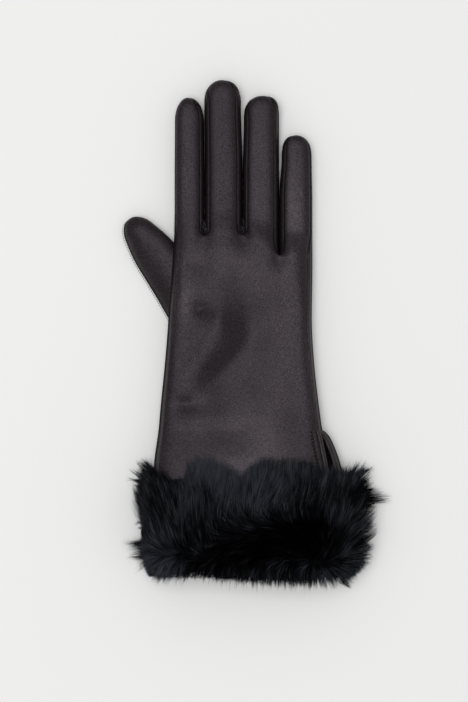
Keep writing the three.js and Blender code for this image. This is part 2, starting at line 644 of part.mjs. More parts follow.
const thumb = thumbSkin();
add(
  "trank",
  panelWall(glove, "trank").subtract(filled(thumb, PIECE_GAP)).subtract(ventBinding(PIECE_GAP)),
  leather,
);
GAPS.forEach((_, k) => add(sideWall(k + 1), panelWall(glove, sideWall(k + 1)), leather));
add("thumb", panelWall(thumb, "thumb").subtract(handBody), leather);
add("vent_binding", ventBinding(0), bindingLeather);
add("fur_cuff", TUFTS.reduce((cuff, one) => cuff.add(tuft(one)), furCuff()).subtract(handBody), fur);

// The origin is under the middle of the glove, on the floor
const box = new THREE.Box3().setFromObject(group);
const middle = box.getCenter(vec(0, 0, 0));
group.position.set(-middle.x, -middle.y, -box.min.z);

export default group;
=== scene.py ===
"""A right-hand dress glove of thin dark leather with a deep fur cuff, lying on its palm.

Leather panels are grids worked out from rounded cross-sections, with rolled edges where they are sewn.
The fur is a pelt with tapered ribbons for hairs. Lengths in the tables are millimetres: X runs across the
hand to the little finger, Y along it to the fingertips and Z up from the floor.
"""
import math

import bpy
import numpy as np
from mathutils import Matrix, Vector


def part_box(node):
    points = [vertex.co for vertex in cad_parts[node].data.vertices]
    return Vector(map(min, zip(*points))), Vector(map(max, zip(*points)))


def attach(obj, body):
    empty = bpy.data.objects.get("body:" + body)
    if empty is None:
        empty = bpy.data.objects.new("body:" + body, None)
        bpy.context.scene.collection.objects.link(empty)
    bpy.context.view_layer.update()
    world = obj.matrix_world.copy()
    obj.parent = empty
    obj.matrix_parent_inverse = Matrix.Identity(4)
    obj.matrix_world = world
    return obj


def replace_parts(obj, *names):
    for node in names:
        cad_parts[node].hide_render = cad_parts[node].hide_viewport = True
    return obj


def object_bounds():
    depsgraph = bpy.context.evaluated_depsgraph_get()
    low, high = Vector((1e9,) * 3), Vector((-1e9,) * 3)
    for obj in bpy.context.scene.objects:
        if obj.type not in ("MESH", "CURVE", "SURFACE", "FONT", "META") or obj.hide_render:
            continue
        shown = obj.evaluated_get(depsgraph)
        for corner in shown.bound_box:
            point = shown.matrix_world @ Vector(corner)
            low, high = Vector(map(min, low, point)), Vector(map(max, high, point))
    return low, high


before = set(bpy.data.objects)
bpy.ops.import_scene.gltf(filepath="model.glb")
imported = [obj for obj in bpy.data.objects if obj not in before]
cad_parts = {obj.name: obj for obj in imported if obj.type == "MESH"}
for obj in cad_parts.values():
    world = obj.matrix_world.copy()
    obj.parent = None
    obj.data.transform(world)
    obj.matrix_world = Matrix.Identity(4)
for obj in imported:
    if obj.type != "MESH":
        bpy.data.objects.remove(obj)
cad_low, cad_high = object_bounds()

MM = 0.001
WELDS_PER_MM = 500

# The main sizes

LEATHER = 1.3
HEM_Y = -136.0
VENT_Y = -56.3
CROTCH_DIP = 1.5
DIP_LENGTH = 18.0
DIP_WIDTH = 4.5
BEND_FROM = 10.0
LAST_ROW_Y = 58.4
HAND_SQUARENESS = 3.6
FINGER_SQUARENESS = 3.0
WIDEST_LEVEL = 0.42
TIP_EDGES_FROM = 0.5
FLOOR_PRESS = 0.8
FOLD_ANGLE = math.radians(32)
OUTER_SEAM_ANGLE = math.radians(27)
SIDE_SEAM_ANGLE = math.radians(48)
SIDE_WALL_TIP_HALF = math.radians(3)
SIDE_WALL_END = math.radians(44)
MIDDLE_TIP_Y = 146.2
FURTHEST_TUFT_X = 75.0

# The hand and wrist by section: silhouette edges, underside and top
HAND = {
    "y": [-136, -106, -80, -56, -42, -19, 9, 41, 59],
    "left": [-57.2, -57.6, -57.8, -55.1, -53.9, -51.6, -49.3, -47, -45.9],
    "right": [47.5, 46.5, 44.5, 39.9, 38, 35.4, 33.9, 34.3, 34.3],
    "bottom": [5, 5, 4, 1.5, 0, 0, 0, 0, 0],
    "top": [26, 26, 25, 22.5, 21, 20, 19.5, 18, 16.5],
}
# The crotches between the fingers, and where the same lines meet the hem
GAP_X = (-28.5, -6.3, 15.1)
GAP_Y = (56.4, 57.0, 44.8)
GAP_HEM_X = (-33.0, -6.0, 21.0)
GAP_NAMES = ("index_middle", "middle_ring", "ring_little")
# How a finger grows out of each crotch: over what length, and how square the crotch is (2 a V, 3 a U);
# away from the crotches it grows out of the hand over a longer stretch
CROTCHES = ((5.5, 2.1), (5.5, 2.1), (12.0, 1.8))
CROTCH_WIDTH = 3.2
GROWTH = 16.0
# The fingers: edges near the crotch and near the tip, tip, length and bluntness of its round, apex,
# thickness, and how high round the right and the left side (degrees) the two seams of a side wall meet at
# the tip
FINGERS = (
    dict(left=-45.9, right=-28.5, tip_left=-45.7, tip_right=-28.8, tip_y=136.9, round=13.5, blunt=2.1,
         apex=-37.6, top=14.5, right_meet=58, left_meet=0),
    dict(left=-28.4, right=-6.35, tip_left=-28.6, tip_right=-7.3, tip_y=147.0, round=13, blunt=2.35,
         apex=-17.8, top=15, right_meet=54, left_meet=12),
    dict(left=-6.25, right=14.95, tip_left=-5.6, tip_right=14.9, tip_y=137.8, round=13, blunt=2.75,
         apex=5.8, top=14.6, right_meet=50, left_meet=16),
    dict(left=15.05, right=34.3, tip_left=16.4, tip_right=33.9, tip_y=115.0, round=13, blunt=2.55,
         apex=24.6, top=13.6, right_meet=0, left_meet=36),
)
# The thumb by section from its tip: distance along, half width, underside and top
THUMB_TIP = np.array([-72.0, 66.7])
THUMB_ROOT = np.array([-24.5, 2.5])
THUMB = {
    "along": [2.4, 6, 12, 23, 36, 48, 58, 68, 79],
    "half": [5.0, 7.7, 9.6, 11.9, 13.1, 14.2, 15.4, 16.2, 16.2],
    "bottom": [3.2, 1.1, 0, 0, 0, 0, 0.4, 3.2, 8.4],
    "top": [8.6, 10.2, 11, 11.2, 10.6, 10.4, 11, 12.4, 14],
}
THUMB_SQUARENESS = 2.3
THUMB_LIFT = 5.2
THUMB_LIFT_ALONG = (66, 88)
THUMB_LIFT_BESIDE = (12, 23)

# The glove's own zero, from the frame: the longest tuft and the middle fingertip tell where it lies
SHIFT = np.array([
    cad_high[0] / MM - FURTHEST_TUFT_X,
    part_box("trank")[1][1] / MM - MIDDLE_TIP_Y,
    0.0,
])


def smoothstep(x, low, high):
    """Rises from 0 at low to 1 at high along 3t^2 - 2t^3."""
    t = np.clip((x - low) / (high - low), 0, 1)
    return t * t * (3 - 2 * t)


def lerp(a, b, t):
    """Straight from a at t = 0 to b at t = 1."""
    return a + (b - a) * t


def smooth_column(table, name, at, scale="y"):
    """A table's column at a place on its scale: a cubic through its rows with the mean of their slopes."""
    xs = np.asarray(table[scale], float)
    ys = np.asarray(table[name], float)
    steps = np.diff(ys) / np.diff(xs)
    slopes = np.concatenate([steps[:1], (steps[1:] + steps[:-1]) / 2, steps[-1:]])
    slopes[1:-1] = np.where(steps[1:] * steps[:-1] <= 0, 0, slopes[1:-1])
    at = np.clip(at, xs[0], xs[-1])
    k = np.clip(np.searchsorted(xs, at, side="right") - 1, 0, len(xs) - 2)
    width = xs[k + 1] - xs[k]
    t = (at - xs[k]) / width
    h00 = 2 * t**3 - 3 * t**2 + 1
    h10 = t**3 - 2 * t**2 + t
    return h00 * ys[k] + (1 - h00) * ys[k + 1] + width * (h10 * slopes[k] + (t**3 - t**2) * slopes[k + 1])


def squared(value, squareness):
    """A sine or cosine bent towards a rounded square: its size to the power 2 / squareness, its sign kept."""
    return np.sign(value) * np.abs(value) ** (2 / squareness)


def noise(x, y, seed, scale):
    """Smooth noise of about -1 to 1: six sine waves of random heading, phase and length near scale."""
    rng = np.random.default_rng(seed)
    total = 0
    for _ in range(6):
        heading, phase = rng.uniform(0, 2 * np.pi, 2)
        length = scale * rng.uniform(0.7, 1.5)
        total = total + np.sin((x * np.cos(heading) + y * np.sin(heading)) * 2 * np.pi / length + phase)
    return total / 3


def unit(vectors, least=0.0):
    """Vectors divided by their length, or by the least length where they are shorter."""
    return vectors / np.maximum(np.linalg.norm(vectors, axis=-1, keepdims=True), least)


def distances(path):
    """How far along a path of straight stretches each of its points is."""
    return np.concatenate([[0], np.cumsum(np.linalg.norm(np.diff(path, axis=0), axis=1))])


def at_distances(values, away, at):
    """Values given at some distances along a path, at other distances: straight between the given ones."""
    return np.stack([np.interp(at, away, values[:, k]) for k in range(3)], -1)


# Meshes


def weld(grids):
    """Joins grids (rows, columns, 3 or 4) into points and quads; points at one place become one.

    The fourth value of a point is how far it is sunk into a seam. Quads run row, next column, next row, so
    they face the side from which columns run right and rows up.
    """
    points, quads, start = [], [], 0
    for grid in grids:
        rows, columns = grid.shape[:2]
        index = start + np.arange(rows * columns).reshape(rows, columns)
        corners = [index[:-1, :-1], index[:-1, 1:], index[1:, 1:], index[1:, :-1]]
        quads.append(np.stack(corners, -1).reshape(-1, 4))
        points.append(grid.reshape(rows * columns, -1))
        start += rows * columns
    points, quads = np.concatenate(points), np.concatenate(quads)
    places = np.round(points[:, :3] * WELDS_PER_MM).astype(int)
    _, first, same = np.unique(places, axis=0, return_index=True, return_inverse=True)
    return points[first], same.reshape(-1)[quads]


def finished(name, mesh, materials, slot, attributes):
    """The smooth object of a mesh, with attributes for its points, materials and its body; its slot is not
    used.
    """
    for title, values in attributes.items():
        mesh.attributes.new(title, "FLOAT", "POINT").data.foreach_set("value", np.asarray(values, np.float32))
    mesh.polygons.foreach_set("use_smooth", np.ones(len(mesh.polygons), bool))
    for material in materials:
        mesh.materials.append(material)
    obj = bpy.data.objects.new(name, mesh)
    bpy.context.scene.collection.objects.link(obj)
    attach(obj, "root")
    return obj


def make_object(name, points, faces, materials, slot, **attributes):
    """A mesh object from points in millimetres and quads; a quad with two equal corners loses one.

    Each attribute is a number for every point that the material reads by that name.
    """
    mesh = bpy.data.meshes.new(name)
    distinct = [list(dict.fromkeys(face)) for face in faces.tolist()]
    faces = [face for face in distinct if len(face) > 2]
    mesh.from_pydata(((points[:, :3] + SHIFT) * MM).tolist(), [], faces)
    if points.shape[1] == 4:
        attributes["sunk"] = points[:, 3]
    return finished(name, mesh, materials, slot, attributes)


# The glove's form, shared by the leather and the fur

thumb_axis = (THUMB_ROOT - THUMB_TIP) / np.linalg.norm(THUMB_ROOT - THUMB_TIP)
thumb_across = np.array([thumb_axis[1], -thumb_axis[0]])


def thumb_lift(x, y):
    """How far the palm rides up over the thumb: full over its middle line, fading beside it and past it."""
    along = (x - THUMB_TIP[0]) * thumb_axis[0] + (y - THUMB_TIP[1]) * thumb_axis[1]
    beside = np.abs((x - THUMB_TIP[0]) * thumb_across[0] + (y - THUMB_TIP[1]) * thumb_across[1])
    past, off = smoothstep(along, *THUMB_LIFT_ALONG), smoothstep(beside, *THUMB_LIFT_BESIDE)
    return THUMB_LIFT * (1 - past) * (1 - off)


# Dents and soft folds in the back: middle, half length, half width to the left of the heading and to its
# right, heading in degrees, depth
DENTS = {
    "valley_low": (-16, -22.8, 21, 9.5, 28, 49, 4.8),
    "valley_high": (-0.5, 6, 16, 10.5, 22, 92, 3.6),
    "index_hollow": (-31, 41, 8, 7, 9, 40, 1.2),
    "middle_hollow": (-8, 29, 10, 8, 12, 80, 1.0),
    "cross_band": (-24, -57, 22, 6, 12, 2, 1.5),
    "outer_hollow": (22, 6, 20, 9, 12, 84, 0.6),
    "ridge_by_pit": (-20, 8, 10, 6, 5, 84, -1.2),
    "ridge_by_valley": (-31, -15, 14, 6, 6, 58, -0.8),
    "index_ridge": (-47, -15, 60, 4, 6, 85, -0.9),
    "left_hollow": (-45, 4, 10, 5, 7, 86, 0.6),
    "outer_ridge": (32, -10, 60, 9, 4, 96, -1.7),
    "little_crease": (24.5, 41.3, 5.5, 1.2, 1.6, -6, 0.16),
    "hem_swell": (0, -74, 28, 9, 8, 0, -0.7),
}
# Two small dimples with a pointed bottom, given in the same way
DIMPLES = {
    "knuckle_pit": (-31, 14, 5.2, 5.5, 7, 80, 2.9),
    "side_pit": (-39, -41, 9, 4.6, 7, -4, 3.0),
}
DENT_POWER = 1.0
DIMPLE_POWER = 0.6
UNEVENNESS = 0.34
UNEVENNESS_LENGTH = 30


def dent_depth(x, y):
    """Depth of the hollows: a bell over each one's axis, wider on one side, summed, and a slow unevenness.

    A dimple's bell is exp(-r^1.2) in place of exp(-r^2), so that its sides run straight down to its middle.
    """
    depth = UNEVENNESS * noise(x, y, seed=3, scale=UNEVENNESS_LENGTH)
    hollows = [(hollow, DENT_POWER) for hollow in DENTS.values()]
    hollows += [(hollow, DIMPLE_POWER) for hollow in DIMPLES.values()]
    for (mid_x, mid_y, length, left_width, right_width, heading, deep), power in hollows:
        turn = math.radians(heading)
        along = (x - mid_x) * math.cos(turn) + (y - mid_y) * math.sin(turn)
        across = (y - mid_y) * math.cos(turn) - (x - mid_x) * math.sin(turn)
        width = np.where(across > 0, left_width, right_width)
        depth = depth + deep * np.exp(-(((along / length) ** 2 + (across / width) ** 2) ** power))
    return depth


def knuckle_dip(x, y):
    """Valleys that run down from each crotch: a bell across, fading down the hand."""
    dip = 0
    for gap_x, gap_y in zip(GAP_X, GAP_Y):
        fading = smoothstep(y, gap_y - DIP_LENGTH, gap_y) ** 2
        dip = dip + CROTCH_DIP * fading * np.exp(-(((x - gap_x) / DIP_WIDTH) ** 2))
    return dip


def hand_at(name, y):
    """A measure of the hand's section at heights y, from its table."""
    return smooth_column(HAND, name, y)


def hand_level(y):
    """The level at which the hand's section is widest."""
    return lerp(hand_at("bottom", y), hand_at("top", y), WIDEST_LEVEL)


def crown(x, y):
    """Share of the full height of a section that is a rounded square: (1 - |x|^n)^(1/n)."""
    left, right = hand_at("left", y), hand_at("right", y)
    share = np.minimum(1, np.abs((2 * x - left - right) / (right - left)))
    return (1 - share**HAND_SQUARENESS) ** (1 / HAND_SQUARENESS)


def hand_top(x, y):
    """Height of the back of the hand: widest level plus the crown, less dents and knuckle valleys."""
    level = hand_level(y)
    return level + (hand_at("top", y) - level - dent_depth(x, y)) * crown(x, y) - knuckle_dip(x, y)


def hand_bottom(x, y):
    """Height of the palm: the crown turned down and pressed flat on the floor, lifted over the thumb."""
    floor, level = hand_at("bottom", y), hand_level(y)
    drop = (level - floor + FLOOR_PRESS) * crown(x, y)
    return np.maximum(floor, level - drop) + thumb_lift(x, y) + 0.6 * knuckle_dip(x, y)


def strip_edge(line, y):
    """X of the lines between the hand's four strips: 0 is the index side's fold, 4 the outer seam."""
    half = (hand_at("right", y) - hand_at("left", y)) / 2
    if line == 0:
        return hand_at("left", y) + half * (1 - squared(math.cos(FOLD_ANGLE), HAND_SQUARENESS))
    if line > len(GAP_X):
        return hand_at("right", y) - half * (1 - squared(math.cos(OUTER_SEAM_ANGLE), HAND_SQUARENESS))
    down = np.clip((GAP_Y[line - 1] - y) / (GAP_Y[line - 1] - HEM_Y), 0, 1)
    return lerp(GAP_X[line - 1], GAP_HEM_X[line - 1], down**1.3)


def bent_y(y, line):
    """Rows across the hand bend, above a certain height, to meet the crotch of each line."""
    crotch = GAP_Y[min(max(line - 1, 0), 2)]
    return np.where(y <= BEND_FROM, y, lerp(BEND_FROM, crotch, (y - BEND_FROM) / (LAST_ROW_Y - BEND_FROM)))


# How far the vent's palm edge is from its back edge: x and z at the mouth and again in the flare to the hem
VENT_MOUTH = (2.4, -4.6, 1.6)
VENT_FLARE = (5.6, -2.2, 14.0)


def vent_opening(y):
    """Grows below the vent's top as 1 - exp(-distance / length), for the mouth and for the flare."""
    below = np.maximum(0, VENT_Y - y)
    mouth, flare = 1 - np.exp(-below / VENT_MOUTH[2]), 1 - np.exp(-below / VENT_FLARE[2])
    x, z = (VENT_MOUTH[k] * mouth + VENT_FLARE[k] * flare for k in (0, 1))
    return np.stack([x, np.zeros_like(below), z], -1)


def strip_grid(f, rows, shares, top):
    """Finger f's strip over the back (top) or the palm, index side first, rows from the hem up."""
    row_y = lerp(bent_y(rows, f)[:, None], bent_y(rows, f + 1)[:, None], shares[None, :])
    across = shares[None, :]
    if f == 0:
        across = 1 - np.sin((1 - across) * np.pi / 2)
    if f == 3:
        across = np.sin(across * np.pi / 2)
    x = lerp(strip_edge(f, row_y), strip_edge(f + 1, row_y), across)
    if top:
        return np.stack([x, row_y, hand_top(x, row_y)], -1)
    opened = vent_opening(row_y)[..., 0] * smoothstep(x, 0, strip_edge(4, row_y))
    return np.stack([x + opened, row_y, hand_bottom(x, row_y)], -1)


def bulge_grid(top, bottom, silhouette, shares, angle):
    """A side wall between a top edge and a bottom edge: a rounded square's end from +angle to -angle."""
    turn = lerp(angle, -angle, shares)[None, :]
    edge = squared(math.cos(angle), HAND_SQUARENESS)
    out = (squared(np.cos(turn), HAND_SQUARENESS) - edge) / (1 - edge)
    t = shares[None, :, None]
    base = lerp(top[:, None], bottom[:, None], t)
    middle = (top[:, 2] + bottom[:, 2])[:, None] / 2
    reach = (top[:, 2] - bottom[:, 2])[:, None] / 2 / squared(math.sin(angle), HAND_SQUARENESS)
    x = lerp(base[..., 0], silhouette[:, None], out)
    z = middle + reach * squared(np.sin(turn), HAND_SQUARENESS)
    return np.stack([x, base[..., 1], z], -1)


def finger_run(f, name, y, shares):
    """One side of the free finger f at the heights y (rows, columns): a rounded square pressed flat below.

    The columns are at shares of the turn between the two seams that bound the side.
    """
    finger = FINGERS[f]
    straight_end = finger["tip_y"] - finger["round"]
    into = np.clip((y - straight_end) / finger["round"], 0, 1)
    size = (1 - into ** finger["blunt"]) ** (1 / finger["blunt"])
    thick = (1 - into ** (2 * finger["blunt"])) ** (0.5 / finger["blunt"])
    along = smoothstep((y - GAP_Y[0]) / (straight_end - GAP_Y[0]), TIP_EDGES_FROM, 1)
    left, right = (lerp(finger[side], finger[f"tip_{side}"], along) for side in ("left", "right"))
    middle = lerp((left + right) / 2, finger["apex"], into**2)
    level = finger["top"] * WIDEST_LEVEL
    closing = np.clip(into / math.sin(SIDE_WALL_END), 0, 1) ** 2

    def seams(side, plain_angle):
        """Angles of the two seams that bound a side: steady, or drawn together towards the tip."""
        if plain_angle is not None:
            return closing * 0 + plain_angle, closing * 0 - plain_angle
        meet = math.radians(finger[f"{side}_meet"])
        above = lerp(SIDE_SEAM_ANGLE, meet + SIDE_WALL_TIP_HALF, closing)
        return above, lerp(-SIDE_SEAM_ANGLE, meet - SIDE_WALL_TIP_HALF, closing)

    right_above, right_below = seams("right", OUTER_SEAM_ANGLE if f == 3 else None)
    left_above, left_below = seams("left", FOLD_ANGLE if f == 0 else None)
    start, end = {
        "top": (np.pi - left_above, right_above),
        "right": (right_above, right_below),
        "bottom": (right_below, -np.pi - left_below),
        "left": (-np.pi - left_below, -np.pi - left_above),
    }[name]
    angle = lerp(start, end, shares)
    rise = squared(np.sin(angle), FINGER_SQUARENESS)
    x = middle + (right - left) / 2 * size * squared(np.cos(angle), FINGER_SQUARENESS)
    z = level + rise * thick * np.where(rise > 0, finger["top"] - level, level + FLOOR_PRESS)
    return np.stack([x, y + 0 * x, np.maximum(0, z)], -1)


# The leather skin: closed rings worked out as grids, with rolled edges along the seams

ROLL_SHARES = np.array([0, 0.007, 0.018, 0.034, 0.056, 0.085])
HAND_PITCH = 1.35
FINGER_PITCH = 1.1
STRIP_COLUMNS = 22
SIDE_COLUMNS = 13
SEAM_DEPTH = 0.9
SEAM_WIDTH = 0.62
SEAM_START = 2.5
FULL_SEAM_RING = 14
# Rows of the hand: how many up to the vent, and how far below the vent's top the close ones lie
CUFF_ROWS = 56
VENT_STEPS = [5, 4.1, 3.3, 2.6, 2, 1.5, 1.05, 0.7, 0.4, 0.18, 0, -0.6]
# Rows round a fingertip by angle, up to the end of the side walls and on to the apex
WALL_TIP_ANGLES = np.linspace(5, 44, 9)
APEX_ANGLES = [*np.linspace(49, 84, 8), 87.5, 90]


def rolled_shares(count):
    """Shares 0 to 1 with extra columns beside both ends, where the leather rolls into its seams."""
    inner = np.linspace(ROLL_SHARES[-1], 1 - ROLL_SHARES[-1], count - 2 * len(ROLL_SHARES) + 2)
    return np.concatenate([ROLL_SHARES, inner[1:-1], 1 - ROLL_SHARES[::-1]])


STRIP_SHARES = rolled_shares(STRIP_COLUMNS)
SIDE_SHARES = rolled_shares(SIDE_COLUMNS)


def normals_of(grid, closed):
    """Unit normals of a grid: the cross product of its central differences along columns and rows.

    Where closed, the first and last columns are one place and are differenced across.
    """
    along = np.gradient(grid, axis=0)
    if closed:
        ring = np.concatenate([grid[:, -2:-1], grid, grid[:, 1:2]], 1)
        across = (ring[:, 2:] - ring[:, :-2]) / 2
    else:
        across = np.gradient(grid, axis=1)
    return unit(np.cross(across, along), 1e-9)


def ring_places(grid):
    """Distance round each row of a grid from its first column."""
    steps = np.linalg.norm(np.diff(grid, axis=1), axis=-1)
    return np.concatenate([np.zeros((len(grid), 1)), np.cumsum(steps, 1)], 1)


def groove(grid, columns, fade):
    """Depth of the valleys along some columns: exp(-distance / width), shallower where the row is short.

    The distance runs round the row, also across its closing point; fade is each row's strength by column.
    """
    place = ring_places(grid)
    total = place[:, -1:]
    room = np.minimum(1, total / FULL_SEAM_RING)
    sunk = np.zeros(grid.shape[:2])
    for column, strength in zip(columns, fade):
        away = np.abs(place - place[:, column][:, None])
        away = np.minimum(away, total - away)
        sunk = np.maximum(sunk, strength[:, None] * SEAM_DEPTH * room * np.exp(-away / SEAM_WIDTH))
    return sunk


def hand_rows():
    """Heights of the rows across the hand, closer together at the top of the vent and below the crotches."""
    below = np.linspace(HEM_Y, VENT_Y - 6, CUFF_ROWS)
    at_vent = VENT_Y - np.array(VENT_STEPS)
    above = np.linspace(VENT_Y + 1.5, LAST_ROW_Y, int((LAST_ROW_Y - VENT_Y) / HAND_PITCH))
    return np.concatenate([below, at_vent, above])


def hand_ring(rows):
    """The hand as one grid: down the outer side, under the palm, up the index side and over the back."""
    tops = [strip_grid(f, rows, STRIP_SHARES, top=True) for f in range(4)]
    bottoms = [strip_grid(f, rows, STRIP_SHARES, top=False)[:, ::-1] for f in range(4)]
    seam = tops[3][:, -1]
    opening = vent_opening(seam[:, 1])
    outer = hand_at("right", seam[:, 1]) + opening[:, 0]
    right = bulge_grid(seam + opening, bottoms[3][:, 0], outer, SIDE_SHARES, OUTER_SEAM_ANGLE)
    fold = tops[0][:, 0]
    left = bulge_grid(fold, bottoms[0][:, -1], hand_at("left", fold[:, 1]), SIDE_SHARES, FOLD_ANGLE)
    runs = {"right": right}
    runs.update({f"bottom{f}": bottoms[f] for f in (3, 2, 1, 0)})
    runs["left"] = left[:, ::-1]
    runs.update({f"top{f}": tops[f] for f in range(4)})
    return runs


def joined(runs):
    """Runs side by side as one grid, neighbours sharing a column, and the columns that each run takes."""
    grids, spans, start = [], {}, 0
    for name, run in runs.items():
        grids.append(run if not grids else run[:, 1:])
        spans[name] = (start, start + run.shape[1])
        start += run.shape[1] - 1
    return np.concatenate(grids, 1), spans


def finger_heights(f):
    """Shares of a finger's straight part by row, then heights in its rounded end down to the apex."""
    finger = FINGERS[f]
    straight_end = finger["tip_y"] - finger["round"]
    count = int((straight_end - GAP_Y[0]) / FINGER_PITCH)
    t = np.linspace(0, 1, count)
    shares = lerp(t, t**2, 0.75)
    angles = np.radians(np.concatenate([WALL_TIP_ANGLES, APEX_ANGLES]))
    return shares, straight_end + finger["round"] * np.sin(angles)


def finger_grid(f, knuckles):
    """Finger f from the hand's last row to its apex, as runs grown out of the crotch.

    At a crotch the growth at a share u of its length is (1 - (1 - u)^n)^(1/n), n being its squareness; a bell
    across fades that into a long smooth step.
    """
    shares, tip_y = finger_heights(f)
    straight_end = FINGERS[f]["tip_y"] - FINGERS[f]["round"]

    def web(line):
        """The first row of a side wall: straight from the back to the palm at the foot of a crotch."""
        t = SIDE_SHARES[:, None]
        return lerp(knuckles[f"top{line - 1}"][-1][-1], knuckles[f"bottom{line - 1}"][-1][0], t)

    base = {
        "top": knuckles[f"top{f}"][-1],
        "right": web(f + 1) if f < 3 else knuckles["right"][-1],
        "bottom": knuckles[f"bottom{f}"][-1],
        "left": web(f)[::-1] if f > 0 else knuckles["left"][-1],
    }
    runs = {}
    for name, start in base.items():
        across = (STRIP_SHARES if name in ("top", "bottom") else SIDE_SHARES)[None, :]
        y = lerp(start[None, :, 1], straight_end, shares[:, None])
        free = finger_run(f, name, y, across)
        x = start[None, :, 0]
        grown = smoothstep((y - start[None, :, 1]) / GROWTH, 0, 1)
        for line in {max(f - 1, 0), min(f, 2)}:
            length, square = CROTCHES[line]
            u = np.clip((y - start[None, :, 1]) / length, 0, 1)
            near = np.exp(-(((x - GAP_X[line]) / CROTCH_WIDTH) ** 2))
            grown = lerp(grown, (1 - (1 - u) ** square) ** (1 / square), near)
        grown = grown[..., None]
        begun = np.stack([start[None, :, 0] + 0 * y, y, start[None, :, 2] + 0 * y], -1)
        tip = finger_run(f, name, tip_y[:, None] + 0 * across, across)
        runs[name] = np.concatenate([lerp(begun, free, grown), tip])
    return runs, len(shares) + len(WALL_TIP_ANGLES)


def sewn_finger(f, hand, spans, knuckles):
    """Finger f's grid with its seams sunk, its first row taken over from the hand, and where its runs lie."""
    runs, wall_rows = finger_grid(f, knuckles)
    grid, places = joined({name: runs[name] for name in ("top", "right", "bottom", "left")})
    from_crotch = {
        side: smoothstep(grid[:, places[side][0], 1] - GAP_Y[line], 0, SEAM_START)
        for side, line in (("right", min(f, 2)), ("left", max(f - 1, 0)))
    }
    full, none = np.ones(len(grid)), np.zeros(len(grid))
    right = (from_crotch["right"], from_crotch["right"]) if f < 3 else (full, none)
    left = (from_crotch["left"], from_crotch["left"]) if f > 0 else (none, none)
    columns = [places["right"][0], places["bottom"][0], places["left"][0], places["left"][1] - 1]
    sunk = groove(grid, columns, [*right, *left])
    grid = grid - normals_of(grid, closed=True) * sunk[..., None]
    grid[:, -1] = grid[:, 0]
    grid[-1] = grid[-1].mean(0)
    taken_over = {"top": f"top{f}", "bottom": f"bottom{f}"}
    if f == 3:
        taken_over["right"] = "right"
    if f == 0:
        taken_over["left"] = "left"
    for run, source in taken_over.items():
        grid[0, slice(*places[run])] = hand[-1, slice(*spans[source]), :3]
    grid[..., 2] = np.maximum(grid[..., 2], 0)
    grid = np.concatenate([grid, sunk[..., None] / SEAM_DEPTH], -1)
    return {name: grid[:, slice(*span)] for name, span in places.items()}, wall_rows


def sewn_hand():
    """The hand's grid, its outer seam sunk above the vent, where its runs lie, and its unsewn last row."""
    runs = hand_ring(hand_rows())
    hand, spans = joined(runs)
    knuckles = {name: run[-1:] for name, run in runs.items()}
    strength = smoothstep(hand[:, -1, 1], VENT_Y, VENT_Y + 3)
    sunk = groove(hand, [0, hand.shape[1] - 1], [strength, strength])
    closed = (hand[:, -1, 1] >= VENT_Y)[:, None, None]
    normals = np.where(closed, normals_of(hand, closed=True), normals_of(hand, closed=False))
    hand = hand - normals * sunk[..., None]
    hand[..., 2] = np.maximum(hand[..., 2], 0)
    return np.concatenate([hand, sunk[..., None] / SEAM_DEPTH], -1), spans, knuckles


# The thumb: a tube that ends where it meets the hand

THUMB_COLUMNS = 56
THUMB_ROWS = 64
THUMB_INSET = 1.6
THUMB_TIP_HEIGHT = 5.5
THUMB_HOLLOW = (20, 79)
THUMB_UNEVENNESS = 0.35
THUMB_TILT = 1.5
THUMB_FALL = 1.2
THUMB_HALF_WIDTH = 13
THUMB_ROW_POWER = 1.15
THUMB_FULL_SIDE = 6
THUMB_FULL_FROM_TIP = 12
THUMB_CREASE = {"from": (-65.3, 44.1), "to": (-60.6, 49.9), "width": 1.5, "depth": 0.7}


def thumb_point(along, share):
    """The thumb's surface: rounded-square rings pressed flat below, sized by the root of the way along.

    share runs once round, from the side next to the index finger over the top to the outer side and below.
    """
    root = np.sqrt(along)
    table = {"u": np.sqrt([0, *THUMB["along"]]), "half": [0, *THUMB["half"]]}
    for name in ("bottom", "top"):
        table[name] = [THUMB_TIP_HEIGHT, *THUMB[name]]
    half, bottom, top = (smooth_column(table, name, root, "u") for name in ("half", "bottom", "top"))
    level = lerp(bottom, top, WIDEST_LEVEL)
    angle = np.pi * (1 - 2 * share)
    rise = squared(np.sin(angle), THUMB_SQUARENESS)
    closing = np.clip(along / THUMB["along"][0], 0, 1)
    z = level + rise * np.where(rise > 0, top - level, level - bottom + FLOOR_PRESS * closing)
    beside = -half * squared(np.cos(angle), THUMB_SQUARENESS)
    x = THUMB_TIP[0] + thumb_axis[0] * along + thumb_across[0] * beside
    y = THUMB_TIP[1] + thumb_axis[1] * along + thumb_across[1] * beside
    return np.stack([x, y, np.maximum(bottom, z)], -1)


def within_hand(points):
    """Below 1 inside the hand: |x|^n + |z|^n, with x and z as shares of the section's half sizes."""
    x, y, z = np.moveaxis(points, -1, 0)
    left, right, level = hand_at("left", y), hand_at("right", y), hand_level(y)
    share = np.abs((2 * x - left - right) / (right - left))
    up = hand_at("top", y) - level
    down = level - hand_at("bottom", y) + FLOOR_PRESS - thumb_lift(x, y)
    height = np.where(z > level, (z - level) / up, (level - z) / np.maximum(down, 1))
    return share**HAND_SQUARENESS + height**HAND_SQUARENESS


